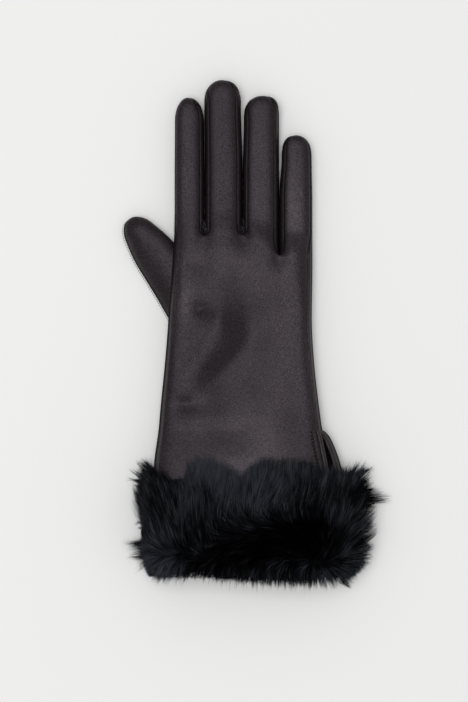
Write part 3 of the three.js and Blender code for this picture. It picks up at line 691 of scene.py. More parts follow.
def within_thumb(points):
    """Below 1 inside the thumb's tube, as for the hand, measured across its own axis."""
    x, y, z = points[..., 0] - THUMB_TIP[0], points[..., 1] - THUMB_TIP[1], points[..., 2]
    along = x * thumb_axis[0] + y * thumb_axis[1]
    beside = x * thumb_across[0] + y * thumb_across[1]
    half, bottom, top = (smooth_column(THUMB, name, along, "along") for name in ("half", "bottom", "top"))
    level = lerp(bottom, top, WIDEST_LEVEL)
    height = np.where(z > level, (z - level) / (top - level), (level - z) / (level - bottom + FLOOR_PRESS))
    inside = np.abs(beside / half) ** THUMB_SQUARENESS + np.abs(height) ** THUMB_SQUARENESS
    return np.where((along > THUMB_HOLLOW[0]) & (along < THUMB_HOLLOW[1]), inside, np.inf)


def thumb_root(shares):
    """How far along the thumb each of its lines first comes inside the hand, found on a fine scale."""
    along = np.linspace(30, THUMB_HOLLOW[1], 400)
    inside = within_hand(thumb_point(along[:, None], shares[None, :])) < 1
    first = np.where(inside.any(0), inside.argmax(0), len(along) - 1)
    root = along[first]
    ring = np.concatenate([root[-4:-1], root, root[1:4]])
    return np.convolve(ring, np.ones(7) / 7, "valid")


def thumb_grid():
    """The thumb from its tip down to its junction with the hand, with the seam of its outer side sunk."""
    shares = np.linspace(0, 1, THUMB_COLUMNS + 1)
    t = np.linspace(0, 1, THUMB_ROWS)[:, None] ** THUMB_ROW_POWER
    reach = np.sqrt(thumb_root(shares) + THUMB_INSET)[None, :]
    along = (t * reach) ** 2
    grid = thumb_point(along, shares[None, :])
    lift = THUMB_UNEVENNESS * noise(grid[..., 0], grid[..., 1], seed=5, scale=17) - thumb_crease(grid)
    up = np.clip(grid[..., 2] / THUMB_FULL_SIDE, 0, 1)
    beside = (grid[..., :2] - THUMB_TIP) @ thumb_across / THUMB_HALF_WIDTH
    lift = lift - THUMB_TILT * beside - THUMB_FALL * np.clip(beside, 0, 1) ** 1.3
    grid[..., 2] += lift * up * np.clip(along / THUMB_FULL_FROM_TIP, 0, 1)
    sunk = groove(grid, [0], [np.clip(t[:, 0] * 6, 0, 1)])
    grid = grid - normals_of(grid, closed=True) * sunk[..., None]
    grid[..., 2] = np.maximum(grid[..., 2], 0)
    grid[:, -1] = grid[:, 0]
    grid[0] = grid[0].mean(0)
    return np.concatenate([grid, sunk[..., None] / SEAM_DEPTH], -1)[::-1]


def thumb_crease(grid):
    """Depth of a short crease in the thumb's back: a bell across a line that fades at its ends."""
    start, end = np.array(THUMB_CREASE["from"]), np.array(THUMB_CREASE["to"])
    way = end - start
    share = ((grid[..., :2] - start) @ way) / (way @ way)
    away = np.linalg.norm(grid[..., :2] - start - np.clip(share, 0, 1)[..., None] * way, axis=-1)
    return THUMB_CREASE["depth"] * np.exp(-((away / THUMB_CREASE["width"]) ** 2))


# The binding of the vent: a strip of leather folded over both edges of the slit

BINDING_WIDTH = 2.8
BINDING_SHIFT = 0.7
BINDING_THICKNESS = 2.0
BINDING_PROUD = 0.45
BINDING_SIDES = 20
BINDING_STEP = 0.55
BINDING_SWELL = 0.05
VENT_STITCH_PITCH = 2.0
WELT_INSET = 2.2
WELT_WIDTH = 1.9
WELT_THICKNESS = 1.2
WELT_SWELL = 0.16
WELT_LIFT = 0.25
WELT_START = 1.6
WELT_END_Y = -92
BINDING_FACING = np.array([0.5, 0, 0.87])


def resampled(path, step):
    """Points at equal steps along a path of straight stretches."""
    away = distances(path)
    count = max(2, int(round(away[-1] / step)) + 1)
    return at_distances(path, away, np.linspace(0, away[-1], count))


def smoothed(path, times):
    """A path whose inner points move half way to the middle of their neighbours, several times."""
    for _ in range(times):
        path = np.concatenate([path[:1], path[1:-1] / 2 + (path[:-2] + path[2:]) / 4, path[-1:]])
    return path


def path_frames(path, facing):
    """The way beside a path and the way up from it, kept as near as can be to facing."""
    along = unit(np.gradient(path, axis=0))
    side = unit(np.cross(along, facing))
    return side, np.cross(side, along)


def vent_path(hand):
    """From the hem up the back edge of the vent, round its top and down the palm edge."""
    below = hand[:, -1, 1] <= VENT_Y + 0.01
    back, palm = hand[below, -1, :3].copy(), hand[below, 0, :3]
    back[:, 0] += BINDING_SHIFT * smoothstep(VENT_Y - back[:, 1], 0, 4)
    return smoothed(resampled(np.concatenate([back, palm[::-1][1:]]), BINDING_STEP), 3)


def binding_grid(path, width, thickness, ticks):
    """A flat rounded tube along a path, its section a rounded oblong that swells a little at every stitch."""
    side, up = path_frames(path, BINDING_FACING)
    angle = np.linspace(0, 2 * np.pi, BINDING_SIDES + 1)[None, :, None]
    place = np.arange(len(path)) * BINDING_STEP
    swell = (1 + ticks * np.sin(place * 2 * np.pi / VENT_STITCH_PITCH))[:, None, None]
    wide = width / 2 * squared(np.cos(angle), 2.6)
    thick = thickness / 2 * squared(np.sin(angle), 2.4) * swell
    middle = path + up * (BINDING_PROUD - LEATHER / 2)
    grid = middle[:, None] + side[:, None] * wide + up[:, None] * thick
    return np.concatenate([grid, 0 * grid[..., :1]], -1)


def capped(grid):
    """A tube's grid with both ends closed by a ring drawn in to the middle."""
    ends = [np.repeat(grid[k].mean(0)[None], grid.shape[1], 0)[None] for k in (0, -1)]
    return np.concatenate([ends[0], grid, ends[1]])


# Materials


def graph(name):
    """A new material, its node tree and the inputs of its shader."""
    material = bpy.data.materials.new(name)
    material.use_nodes = True
    return material, material.node_tree, material.node_tree.nodes["Principled BSDF"].inputs


def feed(tree, socket, value):
    """Gives an input a number, a colour or another node's output."""
    if isinstance(value, bpy.types.NodeSocket):
        tree.links.new(value, socket)
    elif isinstance(value, tuple):
        socket.default_value = (*value, 1)
    else:
        socket.default_value = value


def node(tree, kind, inputs=(), **settings):
    """A node of a kind with settings, its inputs fed by name or number."""
    made = tree.nodes.new(f"ShaderNode{kind}")
    for key, value in settings.items():
        setattr(made, key, value)
    for key, value in dict(inputs).items():
        feed(tree, made.inputs[key], value)
    return made


def attribute(tree, name):
    """A number that the mesh's points carry."""
    return node(tree, "Attribute", attribute_name=name).outputs["Fac"]


def speckled(tree, place, scale, detail, roughness=0.5, output="Fac"):
    """Noise over a place, with so many waves to a metre."""
    inputs = {"Vector": place, "Scale": scale, "Detail": detail, "Roughness": roughness}
    return node(tree, "TexNoise", inputs).outputs[output]


def ramp(tree, value, *stops):
    """A colour ramp over a value, through stops of (place, colour) or (place, grey)."""
    made = node(tree, "ValToRGB", {"Fac": value})
    elements = made.color_ramp.elements
    while len(elements) < len(stops):
        elements.new(0.5)
    for element, (place, colour) in zip(elements, stops):
        element.position = place
        element.color = (*colour, 1) if isinstance(colour, tuple) else (colour, colour, colour, 1)
    return made.outputs["Color"]


def mix(tree, factor, a, b, blend="MIX"):
    """Colour a where the factor is 0 and b where it is 1."""
    inputs = {"Factor": factor, 6: a, 7: b}
    return node(tree, "Mix", inputs, data_type="RGBA", blend_type=blend).outputs[2]


def times(tree, a, b):
    """Colour a multiplied by colour b."""
    return mix(tree, 1.0, a, b, "MULTIPLY")


def bump(tree, height, strength, depth, below=None):
    """A bump of a depth in metres, on the plain surface or on the bump below it."""
    inputs = {"Height": height, "Strength": strength, "Distance": depth}
    if below is not None:
        inputs["Normal"] = below
    return node(tree, "Bump", inputs).outputs[0]


DULL_ROUGHNESS = (0.85, 0.85, 0.85)
PLAIN_SHINE = (1.0, 1.0, 1.0)
# How far the painted sheen raises the specular level where it stands in for highlights
PAINTED_SHEEN_GAIN = (2.05, 2.05, 2.05)
# The leathers: dark and light of their blotches, colour of the painted shade in their seam grooves,
# roughness, specular level
LEATHERS = {
    "glove_leather": (
        (0.011, 0.0085, 0.0100), (0.016, 0.0125, 0.0145), (0.007, 0.0054, 0.0052), 0.32, 0.18,
    ),
    "binding_leather": (
        (0.012, 0.0095, 0.009), (0.020, 0.016, 0.0145), (0.012, 0.0095, 0.009), 0.36, 0.3,
    ),
    # The gussets' leather is a darker copy of the glove's, a painted shade for where they sit deep between
    # the fingers
    "gusset_leather_in_painted_shade": (
        (0.004, 0.0035, 0.004), (0.008, 0.007, 0.008), (0.003, 0.003, 0.003), 0.22, 0.3,
    ),
}
# The matt materials: their texture and its inputs, two places on it and the colours there, strength and depth
# (metres) of the bump, roughness and specular level
MATT = {
    "leather_flesh_side": (
        "TexNoise", {"Scale": 700, "Detail": 6, "Roughness": 0.7},
        (0.3, (0.006, 0.005, 0.005)), (0.7, (0.014, 0.012, 0.012)), (0.5, 0.0005), 0.92, 0.1,
    ),
    "sewing_thread": (
        "TexWave", {"Scale": 1600, "Distortion": 1.0},
        (0.2, (0.002, 0.002, 0.002)), (0.8, (0.008, 0.007, 0.007)), (0.4, 0.0001), 0.7, 0.06,
    ),
    "underfur": (
        "TexNoise", {"Scale": 900, "Detail": 5, "Roughness": 0.7},
        (0.3, (0.0005, 0.0005, 0.0006)), (0.75, (0.002, 0.0022, 0.003)), (0.8, 0.0012), 0.95, 0.04,
    ),
}


def leather_material(name):
    """Fine-grained leather: pebbles as bump, soft blotches of colour, and a painted shade where it rolls into
    a seam.

    The upright sides are rough and their specular level is cut, a painted shade; the full sheen comes in
    towards the back and the palm.
    """
    dark, light, edge, roughness, specular = LEATHERS[name]
    material, tree, shader = graph(name)
    coordinates = node(tree, "TexCoord").outputs
    place = coordinates["Object"]
    speck = speckled(tree, place, scale=1500, detail=1)
    blotch = speckled(tree, place, scale=45, detail=4, roughness=0.6)
    colour = ramp(tree, blotch, (0.3, dark), (0.72, light))
    colour = times(tree, colour, ramp(tree, speck, (0.3, 0.6), (0.7, 1.4)))
    # Painted shade: the colour goes towards the seam colour the deeper the leather is sunk into a seam groove
    seam_groove_shade = ramp(tree, attribute(tree, "sunk"), (0.05, 0.0), (0.5, 1.0))
    feed(tree, shader["Base Color"], mix(tree, seam_groove_shade, colour, edge))

    wander = speckled(tree, place, scale=300, detail=2, output="Color")
    wander = node(tree, "VectorMath", {0: wander, "Scale": 0.0012}, operation="SCALE").outputs[0]
    moved = node(tree, "VectorMath", {0: place, 1: wander}, operation="ADD").outputs[0]
    cells = {"Vector": moved, "Scale": 1250}
    pebbles = node(tree, "TexVoronoi", cells, feature="DISTANCE_TO_EDGE").outputs["Distance"]
    fine = bump(tree, ramp(tree, pebbles, (0.0, 0.0), (0.28, 0.85), (0.6, 1.0)), 0.2, 0.0004)
    creases = speckled(tree, place, scale=170, detail=5, roughness=0.62)
    feed(tree, shader["Normal"], bump(tree, creases, 0.05, 0.0012, below=fine))

    # Painted shade on the upright sides: the steeper the surface, the lower its specular level and the higher
    # its roughness
    steep = node(tree, "SeparateXYZ", {"Vector": coordinates["Normal"]}).outputs["Z"]
    steep = node(tree, "Math", {0: steep}, operation="ABSOLUTE").outputs[0]
    flat_sheen_side_shade = ramp(tree, steep, (0.12, 0.05), (0.5, 1.0))
    patch = speckled(tree, place, scale=70, detail=3)
    rough = ramp(tree, patch, (0.3, roughness - 0.012), (0.7, roughness + 0.012))
    rough = times(tree, rough, ramp(tree, speck, (0.3, 0.85), (0.7, 1.15)))
    feed(tree, shader["Roughness"], mix(tree, flat_sheen_side_shade, DULL_ROUGHNESS, rough))

    dots = ramp(tree, speck, (0.3, specular * 0.6), (0.7, specular * 1.4))
    # Painted sheen: the specular level is raised where the back should show highlights
    dots = times(tree, dots, mix(tree, attribute(tree, "buffed"), PLAIN_SHINE, PAINTED_SHEEN_GAIN))
    feed(tree, shader["Specular IOR Level"], times(tree, dots, flat_sheen_side_shade))
    feed(tree, shader["Specular Tint"], (1.0, 0.88, 0.96))
    return material


def matt_material(name):
    """A matt material whose texture gives both its colour and its bump: napped leather, thread or wool."""
    kind, inputs, dark, light, relief, roughness, specular = MATT[name]
    material, tree, shader = graph(name)
    place = node(tree, "TexCoord").outputs["Object"]
    texture = node(tree, kind, {"Vector": place, **inputs}).outputs["Fac"]
    feed(tree, shader["Base Color"], ramp(tree, texture, dark, light))
    feed(tree, shader["Normal"], bump(tree, texture, *relief))
    feed(tree, shader["Roughness"], roughness)
    feed(tree, shader["Specular IOR Level"], specular)
    return material


leather, binding_leather, gusset_leather_in_painted_shade = (leather_material(name) for name in LEATHERS)
suede = matt_material("leather_flesh_side")
thread = matt_material("sewing_thread")


# The leather pieces

THINNEST_AT_FOLDS = 0.6
DEEP_INSIDE = 0.86


def walled(obj, thickness):
    """Gives an open surface the thickness of leather inwards, with the flesh side inside."""
    wall = obj.modifiers.new("leather_thickness", "SOLIDIFY")
    wall.thickness = thickness * MM
    wall.offset = -1
    wall.material_offset = 1
    wall.thickness_clamp = THINNEST_AT_FOLDS
    return obj


# Where a painted sheen raises the leather's specular level, standing in for highlights on the back: middle,
# half width and half length, share
PAINTED_SHEEN_PLACES = {
    "above_fur": (2, -70, 26, 16, 1.0),
    "lower_back": (-6, -45, 26, 9, 0.55),
    "outer_edge": (34, -12, 7, 50, 0.9),
    "little_finger": (25, 66, 9, 34, 0.6),
    "index_knuckle": (-41, 20, 6, 16, 0.6),
    "knuckles": (-12, 42, 30, 10, 0.3),
    "right_back": (18, 0, 16, 34, 0.2),
    "ring_finger": (5, 84, 9, 40, 0.2),
}


def buffed_share(points):
    """How much painted sheen the leather gets: bells over the places of the table, summed up to 1."""
    share = 0
    for mid_x, mid_y, half_width, half_length, full in PAINTED_SHEEN_PLACES.values():
        across, along = (points[:, 0] - mid_x) / half_width, (points[:, 1] - mid_y) / half_length
        share = share + full * np.exp(-(across**2) - along**2)
    return np.minimum(share, 1)


def leather_piece(name, points, quads, outside, thickness=LEATHER, **attributes):
    """A piece of leather as thick as it should be, with the flesh side inside."""
    return walled(make_object(name, points, quads, [outside, suede], "leather", **attributes), thickness)


def without_thumb_hole(points, quads):
    """Drops the quads whose four corners all lie deep inside the thumb."""
    deep = within_thumb(points[:, :3]) < DEEP_INSIDE
    return quads[~deep[quads].all(1)]


hand, spans, knuckles = sewn_hand()
fingers = [sewn_finger(f, hand, spans, knuckles) for f in range(4)]

trank_grids = [hand]
for f, (runs, wall_rows) in enumerate(fingers):
    trank_grids += [runs["top"], runs["bottom"]]
    trank_grids.append(runs["right"] if f == 3 else runs["right"][wall_rows - 1 :])
    trank_grids.append(runs["left"] if f == 0 else runs["left"][wall_rows - 1 :])
points, quads = weld(trank_grids)
quads = without_thumb_hole(points, quads)
trank = leather_piece("trank_leather", points, quads, leather, buffed=buffed_share(points))
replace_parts(trank, "trank")

for line, name in enumerate(GAP_NAMES):
    (before, before_rows), (after, after_rows) = fingers[line], fingers[line + 1]
    points, quads = weld([before["right"][:before_rows], after["left"][:after_rows]])
    wall = leather_piece(f"side_wall_{name}", points, quads, leather)
    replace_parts(wall, f"fourchette_{name}")

thumb_surface = thumb_grid()
thumb = leather_piece("thumb_leather", *weld([thumb_surface]), leather)
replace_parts(thumb, "thumb")

vent = vent_path(hand)
points, quads = weld([capped(binding_grid(vent, BINDING_WIDTH, BINDING_THICKNESS, BINDING_SWELL))])
binding = make_object("vent_binding_strip", points, quads, [binding_leather], "binding_leather")
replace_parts(binding, "vent_binding")

welt_y = np.arange(VENT_Y - WELT_START, WELT_END_Y, -BINDING_STEP)
welt_x = strip_edge(4, welt_y) - WELT_INSET
welt = np.stack([welt_x, welt_y, hand_top(welt_x, welt_y) + WELT_LIFT], -1)
points, quads = weld([capped(binding_grid(welt, WELT_WIDTH, WELT_THICKNESS, WELT_SWELL))])
make_object("vent_welt", points, quads, [binding_leather], "binding_leather")


# Stitches and the small gussets at the crotches

STITCH_PITCH = 1.4
STITCH_LENGTH = 0.95
STITCH_RADIUS = 0.2
STITCH_AHEAD = 0.3
STITCH_SIDES = 6
STITCH_SINK = 0.12
STITCH_RINGS = [(-0.5, 0.0), (-0.36, 0.8), (0.0, 1.0), (0.36, 0.8), (0.5, 0.0)]
LOWEST_STITCH = 0.03
UNSTITCHED_TIP_ROWS = 4
OUTER_STITCH_ANGLE = OUTER_SEAM_ANGLE + 0.5
VENT_STITCH_LENGTH = 1.2
VENT_STITCH_RADIUS = 0.45
VENT_STITCH_SLANT = 0.35
VENT_STITCH_BESIDE = 0.9
VENT_STITCH_LIFT = 0.15


def stitch_shape():
    """One stitch as a closed spindle of unit length and radius: rings of sin and cos, points at both ends."""
    turn = np.arange(STITCH_SIDES) * 2 * np.pi / STITCH_SIDES
    points = np.array([(at, r * math.cos(a), r * math.sin(a)) for at, r in STITCH_RINGS for a in turn])
    k = np.arange(STITCH_SIDES)
    after = (k + 1) % STITCH_SIDES
    starts = np.arange(len(STITCH_RINGS) - 1) * STITCH_SIDES
    quads = [
        np.stack([start + k, start + after, start + STITCH_SIDES + after, start + STITCH_SIDES + k], -1)
        for start in starts
    ]
    return points, np.concatenate(quads)[:, ::-1]


def stitches(path, facing, pitch, length, slant=0.0, radius=STITCH_RADIUS):
    """Stitches at an even pitch along a path, each lying along it (or slanted), facing out of the leather."""
    away = distances(path)
    at = np.arange(pitch, away[-1] - pitch / 2, pitch)
    middle, up = (at_distances(values, away, at) for values in (path, facing))
    along = unit(at_distances(path, away, at + STITCH_AHEAD) - middle)
    side = unit(np.cross(up, along))
    along = along * math.cos(slant) + side * math.sin(slant)
    side = np.cross(up, along)
    shape, quads = stitch_shape()
    points = middle[:, None] + along[:, None] * shape[:, :1] * length
    points = points + side[:, None] * shape[:, 1:2] * radius + up[:, None] * shape[:, 2:] * radius
    points[..., 2] = np.maximum(points[..., 2], LOWEST_STITCH)
    faces = quads + (np.arange(len(at)) * len(shape))[:, None, None]
    return points.reshape(-1, 3), faces.reshape(-1, 4)


def lifted(line, way):
    """A sunk line (x, y, z, how far sunk) lifted most of the way out of its groove."""
    return line[:, :3] + way * (line[:, 3:] * SEAM_DEPTH - STITCH_SINK)


def finger_seams(f):
    """The seams of finger f: where their stitches lie, and the way out of the finger."""
    runs = fingers[f][0]
    centre = np.mean([run.mean(1) for run in runs.values()], 0)[:, :3]
    lines = [runs["right"][:, 0]]
    if f < 3:
        lines.append(runs["bottom"][:, 0])
    if f > 0:
        lines += [runs["left"][:, 0], runs["left"][:, -1]]
    for line in lines:
        way = unit((line[:, :3] - centre)[:-UNSTITCHED_TIP_ROWS])
        yield lifted(line[:-UNSTITCHED_TIP_ROWS], way), way


def joined_meshes(parts):
    """Several lists of points and faces as one."""
    starts = np.cumsum([0] + [len(points) for points, _ in parts])
    faces = [faces + start for (_, faces), start in zip(parts, starts)]
    return np.concatenate([points for points, _ in parts]), np.concatenate(faces)


def hand_seam():
    """The outer seam above the vent, with its way out of the leather."""
    line = hand[hand[:, 0, 1] > VENT_Y + 1, 0]
    way = np.tile([math.cos(OUTER_STITCH_ANGLE), 0, math.sin(OUTER_STITCH_ANGLE)], (len(line), 1))
    return lifted(line, way), way


def vent_back_line():
    """Where the binding's stitches run on the back: beside the strip, on the leather."""
    y = np.linspace(VENT_Y + 1, WELT_END_Y, 40)
    x = strip_edge(4, y) - WELT_INSET - WELT_WIDTH / 2 - VENT_STITCH_BESIDE
    place = np.stack([x, y, hand_top(x, y) + VENT_STITCH_LIFT], -1)
    return place, np.tile(BINDING_FACING, (len(y), 1))


parts = [stitches(*seam, STITCH_PITCH, STITCH_LENGTH) for f in range(4) for seam in finger_seams(f)]
parts.append(stitches(*hand_seam(), STITCH_PITCH, STITCH_LENGTH))
vent_stitch = (VENT_STITCH_PITCH, VENT_STITCH_LENGTH, VENT_STITCH_SLANT, VENT_STITCH_RADIUS)
parts.append(stitches(*vent_back_line(), *vent_stitch))
line = thumb_surface[:, 0]
centre = thumb_surface[..., :3].mean(1)
way = line[:, :3] - centre
way[:3] = way[3]
way = unit(way, 1e-6)
parts.append(stitches(line[:, :3] + way * (SEAM_DEPTH - STITCH_SINK), way, STITCH_PITCH, STITCH_LENGTH))
make_object("seam_stitches", *joined_meshes(parts), [thread], "thread")

# The gussets: their reach from the crotch, half width, thickness, slope and fold, and the height and random
# seed of each one
QUIRK_SPAN = (0.2, 10.0)
QUIRK_HALF = 2.5
QUIRK_THICKNESS = 0.6
QUIRK_SLOPE = 2.6
QUIRK_FOLD = 0.9
QUIRKS = ((10.6, 51), (10.4, 57))


def quirk(x, y, height, seed):
    """A crumpled lens of leather set into a crotch: width as sin^0.7 along it, folded down its middle."""
    v, u = np.meshgrid(np.linspace(0, 1, 34), np.linspace(-1, 1, 19), indexing="ij")
    half = QUIRK_HALF * np.sin(np.pi * np.clip(v, 0.004, 0.996)) ** 0.7
    at_y = y + lerp(QUIRK_SPAN[0], QUIRK_SPAN[1], v)
    at_x = x + u * half + 0.3 * np.sin(v * 9 + seed)
    crumple = 0.6 * noise(u * 3, v * 11, seed=seed, scale=2.8)
    crumple = crumple + 0.2 * noise(u * 3, v * 11, seed=seed + 1, scale=1.2)
    at_z = height - QUIRK_SLOPE * v + QUIRK_FOLD * np.abs(u) + crumple
    return np.stack([at_x, at_y, at_z], -1)


for name, x, y, (height, seed) in zip(GAP_NAMES, GAP_X, GAP_Y, QUIRKS):
    mesh = weld([quirk(x, y, height, seed)])
    leather_piece(f"crotch_gusset_{name}", *mesh, gusset_leather_in_painted_shade, QUIRK_THICKNESS)


# The fur cuff: a thick underfur on the pelt, and guard hairs as tapered ribbons combed over it

PHOTO_ZERO = np.array([253.5, 333])
MM_PER_PIXEL = 0.58
FUR_COLUMNS = 180
FUR_CLEAR = 1.3
HIDDEN_LENGTH = 9
HIDDEN_LIGHT = 0.3
HIDDEN_STAND = 0.85
PILE = {
    "y": [-141, -137, -128, -116, -104, -94, -87, -82],
    "depth": [3, 7.4, 10, 11, 10.6, 8.4, 5, 2.4],
}
# The underfur: its share of the pile, its hems, how far its skins and its rims stand off the leather, over
# what length a rim rounds off, and the strength, random seed and size of the lumps in its face
UNDERFUR = 0.5
UNDERFUR_Y = (-136.5, -86.5)
UNDERFUR_FACE = 0.6
UNDERFUR_RIM = 0.4
UNDERFUR_BACK = -0.5
UNDERFUR_ROUND = 5
UNDERFUR_LUMPS = ((0.16, 11, 9), (0.07, 12, 3.5))
WRIST_ROUND = 330
FUR_LAP_REACH = 9.5
FUR_LAP_SHARE = 0.053
FUR_LAP_WAY = np.array([0.97, 0, -0.2])
FUR_LAP_FACING = np.array([0.25, 0, 0.97])
# The outline of the fur as seen from above, in pixels of the picture: its upper and lower edge by x, its
# left and right edge by y
FUR_TOP = {
    "x": [122, 134, 150, 157, 163, 167, 184, 187, 196, 212, 222, 232,
          240, 246, 254, 270, 300, 315, 325, 341, 350, 365, 373, 384],
    "y": [486, 483, 463, 468, 478, 481, 481, 458, 453, 455, 463, 468,
          475, 468, 460, 456, 457, 461, 466, 469, 466, 468, 476, 492],
}
FUR_FOOT = {
    "x": [122, 150, 158, 175, 200, 215, 240, 260, 290, 310, 330, 345, 353, 360, 384],
    "y": [566, 572, 577, 574, 572, 575, 579, 580, 582, 583, 583, 581, 578, 570, 566],
}
FUR_LEFT = {
    "y": [455, 470, 484, 492, 506, 524, 538, 546, 552, 560, 570, 578],
    "x": [152, 146, 140, 142, 144, 147, 148, 142, 144, 149, 154, 158],
}
FUR_RIGHT = {
    "y": [460, 467, 476, 490, 501, 509, 517, 522, 527, 532, 537, 543, 555, 567, 582],
    "x": [362, 366, 373, 377, 384, 376, 369, 373, 377, 369, 362, 371, 367, 363, 350],
}
# How the hairs are combed: place in pixels of the picture, heading in degrees from the right over the top,
# length in millimetres, how far they stand up as a share of the pile, and how light they are, which is partly
# the fur's own tone and partly painted: painted shade where the hairs point away, painted highlight in the
# streaks
COMB = [
    (150, 474, 128, 13, 0.9, 0.55), (140, 490, 160, 13, 0.8, 0.5), (165, 492, 118, 14, 0.95, 0.28),
    (176, 498, 108, 14, 0.9, 0.25), (185, 500, 98, 16, 0.9, 0.7), (200, 480, 92, 18, 0.8, 1.7),
    (220, 482, 94, 18, 0.85, 1.5), (236, 492, 95, 18, 0.85, 1.4), (255, 480, 82, 18, 0.8, 0.85),
    (280, 480, 84, 18, 0.85, 0.95), (310, 482, 88, 17, 0.85, 0.6), (335, 484, 82, 16, 0.85, 0.55),
    (350, 480, 66, 15, 0.8, 0.6), (364, 476, 40, 13, 0.8, 0.55), (372, 498, 4, 13, 0.8, 0.12),
    (148, 515, 112, 15, 0.9, 0.42), (165, 522, 106, 17, 0.95, 0.34), (200, 520, 90, 18, 1, 0.6),
    (230, 520, 84, 18, 1, 0.6), (262, 508, 66, 18, 1, 0.9), (290, 510, 72, 17, 1, 0.42),
    (320, 512, 80, 17, 1, 0.32), (170, 540, 104, 12, 1, 0.5), (205, 542, 96, 12, 1, 0.25),
    (240, 540, 205, 13, 0.95, 0.1), (275, 535, 185, 13, 0.95, 0.08), (305, 540, 120, 13, 0.95, 0.05),
    (330, 545, 74, 12, 0.95, 0.08), (145, 545, 165, 15, 0.9, 0.8), (138, 552, 190, 14, 0.9, 0.8),
    (150, 562, 222, 12, 0.85, 1.0), (165, 565, 258, 11, 0.9, 1.2), (190, 568, 262, 10, 0.8, 0.3),
    (215, 570, 262, 10, 0.8, 0.25), (240, 572, 266, 10, 0.8, 0.3), (270, 574, 268, 10, 0.8, 0.35),
    (300, 576, 272, 10, 0.8, 0.45), (330, 576, 284, 10, 0.8, 0.5), (346, 572, 320, 11, 0.85, 0.6),
    (356, 560, 4, 11, 0.85, 0.6), (360, 540, 14, 12, 0.85, 0.4), (366, 522, 22, 13, 0.85, 0.08),
    (358, 508, 38, 13, 0.9, 0.05), (343, 520, 84, 15, 1.15, 0.55), (342, 545, 58, 14, 1.15, 0.5),
]
COMB_REACH = 11.0
HAIRS_PER_LOCK = 12
LOCK_PULL = 0.5
LOCK_SLACK = (-1.8, 3.4)
HAIRS_PER_TUFT_LOCK = 24
HAIRS_PER_CLUMP = 150
CLUMP_PULL = 0.16
HAIR_ROWS = 5
HAIR_WIDTH = 0.25
WISP_SHARE = 0.24
PALE_HAIR_SHARE = 0.03
PALER = 3
LOCK_SHADES = (4.5, 0.222)
LOWEST_HAIR = 0.05
# How the hairs of the cuff differ: slow and random turns of heading in radians, shares of height and reach,
# shades of the clumps, further reach of a wisp, and the least that is left of a hair cut at the outline
SLOW_TURN = 0.16
RANDOM_TURN = 0.1
HEIGHTS = (0.72, 1.12)
REACHES = (0.7, 1.15)
CLUMP_SHADES = (0.85, 1.15)
WISP_REACH = 4
LEAST_LEFT = 0.22
ROOT_LEVEL = 0.25
RISE_POWER = 2.2
REACH_POWER = 1.35
DROOP = 1.2
# Tufts that stand out at the sides: root in pixels of the picture, height in millimetres, heading and spread
# in degrees, length in millimetres, how many hairs and how light they are; the darkest tufts on the right
# carry a painted shade for the side turned away from the light
TUFTS = {
    "upper_left_fan": (153, 480, 13, 126, 26, 15, 420, 0.45),
    "upper_left_point": (148, 485, 11, 168, 17, 12, 260, 0.4),
    "left_edge_high": (150, 500, 10, 150, 30, 9, 300, 0.4),
    "left_edge_low": (153, 522, 10, 160, 30, 9, 300, 0.45),
    "left_point": (157, 547, 11, 181, 12, 17, 420, 0.5),
    "left_burst": (160, 547, 12, 172, 52, 20, 330, 0.5),
    "left_burst_low": (162, 553, 10, 218, 30, 18, 260, 0.55),
    "lower_left": (164, 564, 8, 240, 28, 11, 260, 0.5),
    "upper_right": (352, 481, 12, 46, 26, 13, 420, 0.5),
    "right_shoulder": (354, 489, 11, 22, 22, 12, 420, 0.14),
    "long_right": (354, 501, 11, 3, 15, 18, 520, 0.1),
    "right_middle": (350, 525, 10, 5, 20, 13.5, 460, 0.12),
    "right_low": (350, 543, 9, -6, 30, 11.5, 420, 0.4),
    "right_foot": (347, 558, 8, -26, 30, 11, 360, 0.5),
    "lower_right": (341, 570, 7, -60, 30, 9, 280, 0.4),
}


def photo_place(px, py):
    """The place in millimetres, in the glove's own frame, that shows at a pixel of the picture."""
    return (np.asarray(px) - PHOTO_ZERO[0]) * MM_PER_PIXEL, (PHOTO_ZERO[1] - np.asarray(py)) * MM_PER_PIXEL


def photo_pixel(x, y):
    """The pixel of the picture at which a place in millimetres shows."""
    return PHOTO_ZERO[0] + x / MM_PER_PIXEL, PHOTO_ZERO[1] - y / MM_PER_PIXEL


def wrist_rows(rows):
    """The wrist's outline at some heights, in equal steps from the vent's palm edge round to its back edge.

    Returns the places and the ways out of the leather, with the back end drawn out over the vent.
    """
    ring, _ = joined(hand_ring(rows))
    shares = np.linspace(0, 1, FUR_COLUMNS)
    places = []
    for row in ring:
        away = distances(row)
        places.append(at_distances(row, away, shares * away[-1]))
    places = np.array(places)
    out = unit(np.cross(np.gradient(places, axis=1), [0, 1, 0]))
    lap = smoothstep(shares, 1 - FUR_LAP_SHARE, 1)[None, :, None]
    return places + FUR_LAP_WAY * FUR_LAP_REACH * lap, unit(lerp(out, FUR_LAP_FACING, lap))


FUR_ROWS = np.linspace(PILE["y"][0], PILE["y"][-1], 60)
wrist_places, wrist_ways = wrist_rows(np.clip(FUR_ROWS, HEM_Y, None))
wrist_places[..., 1] = FUR_ROWS[:, None]


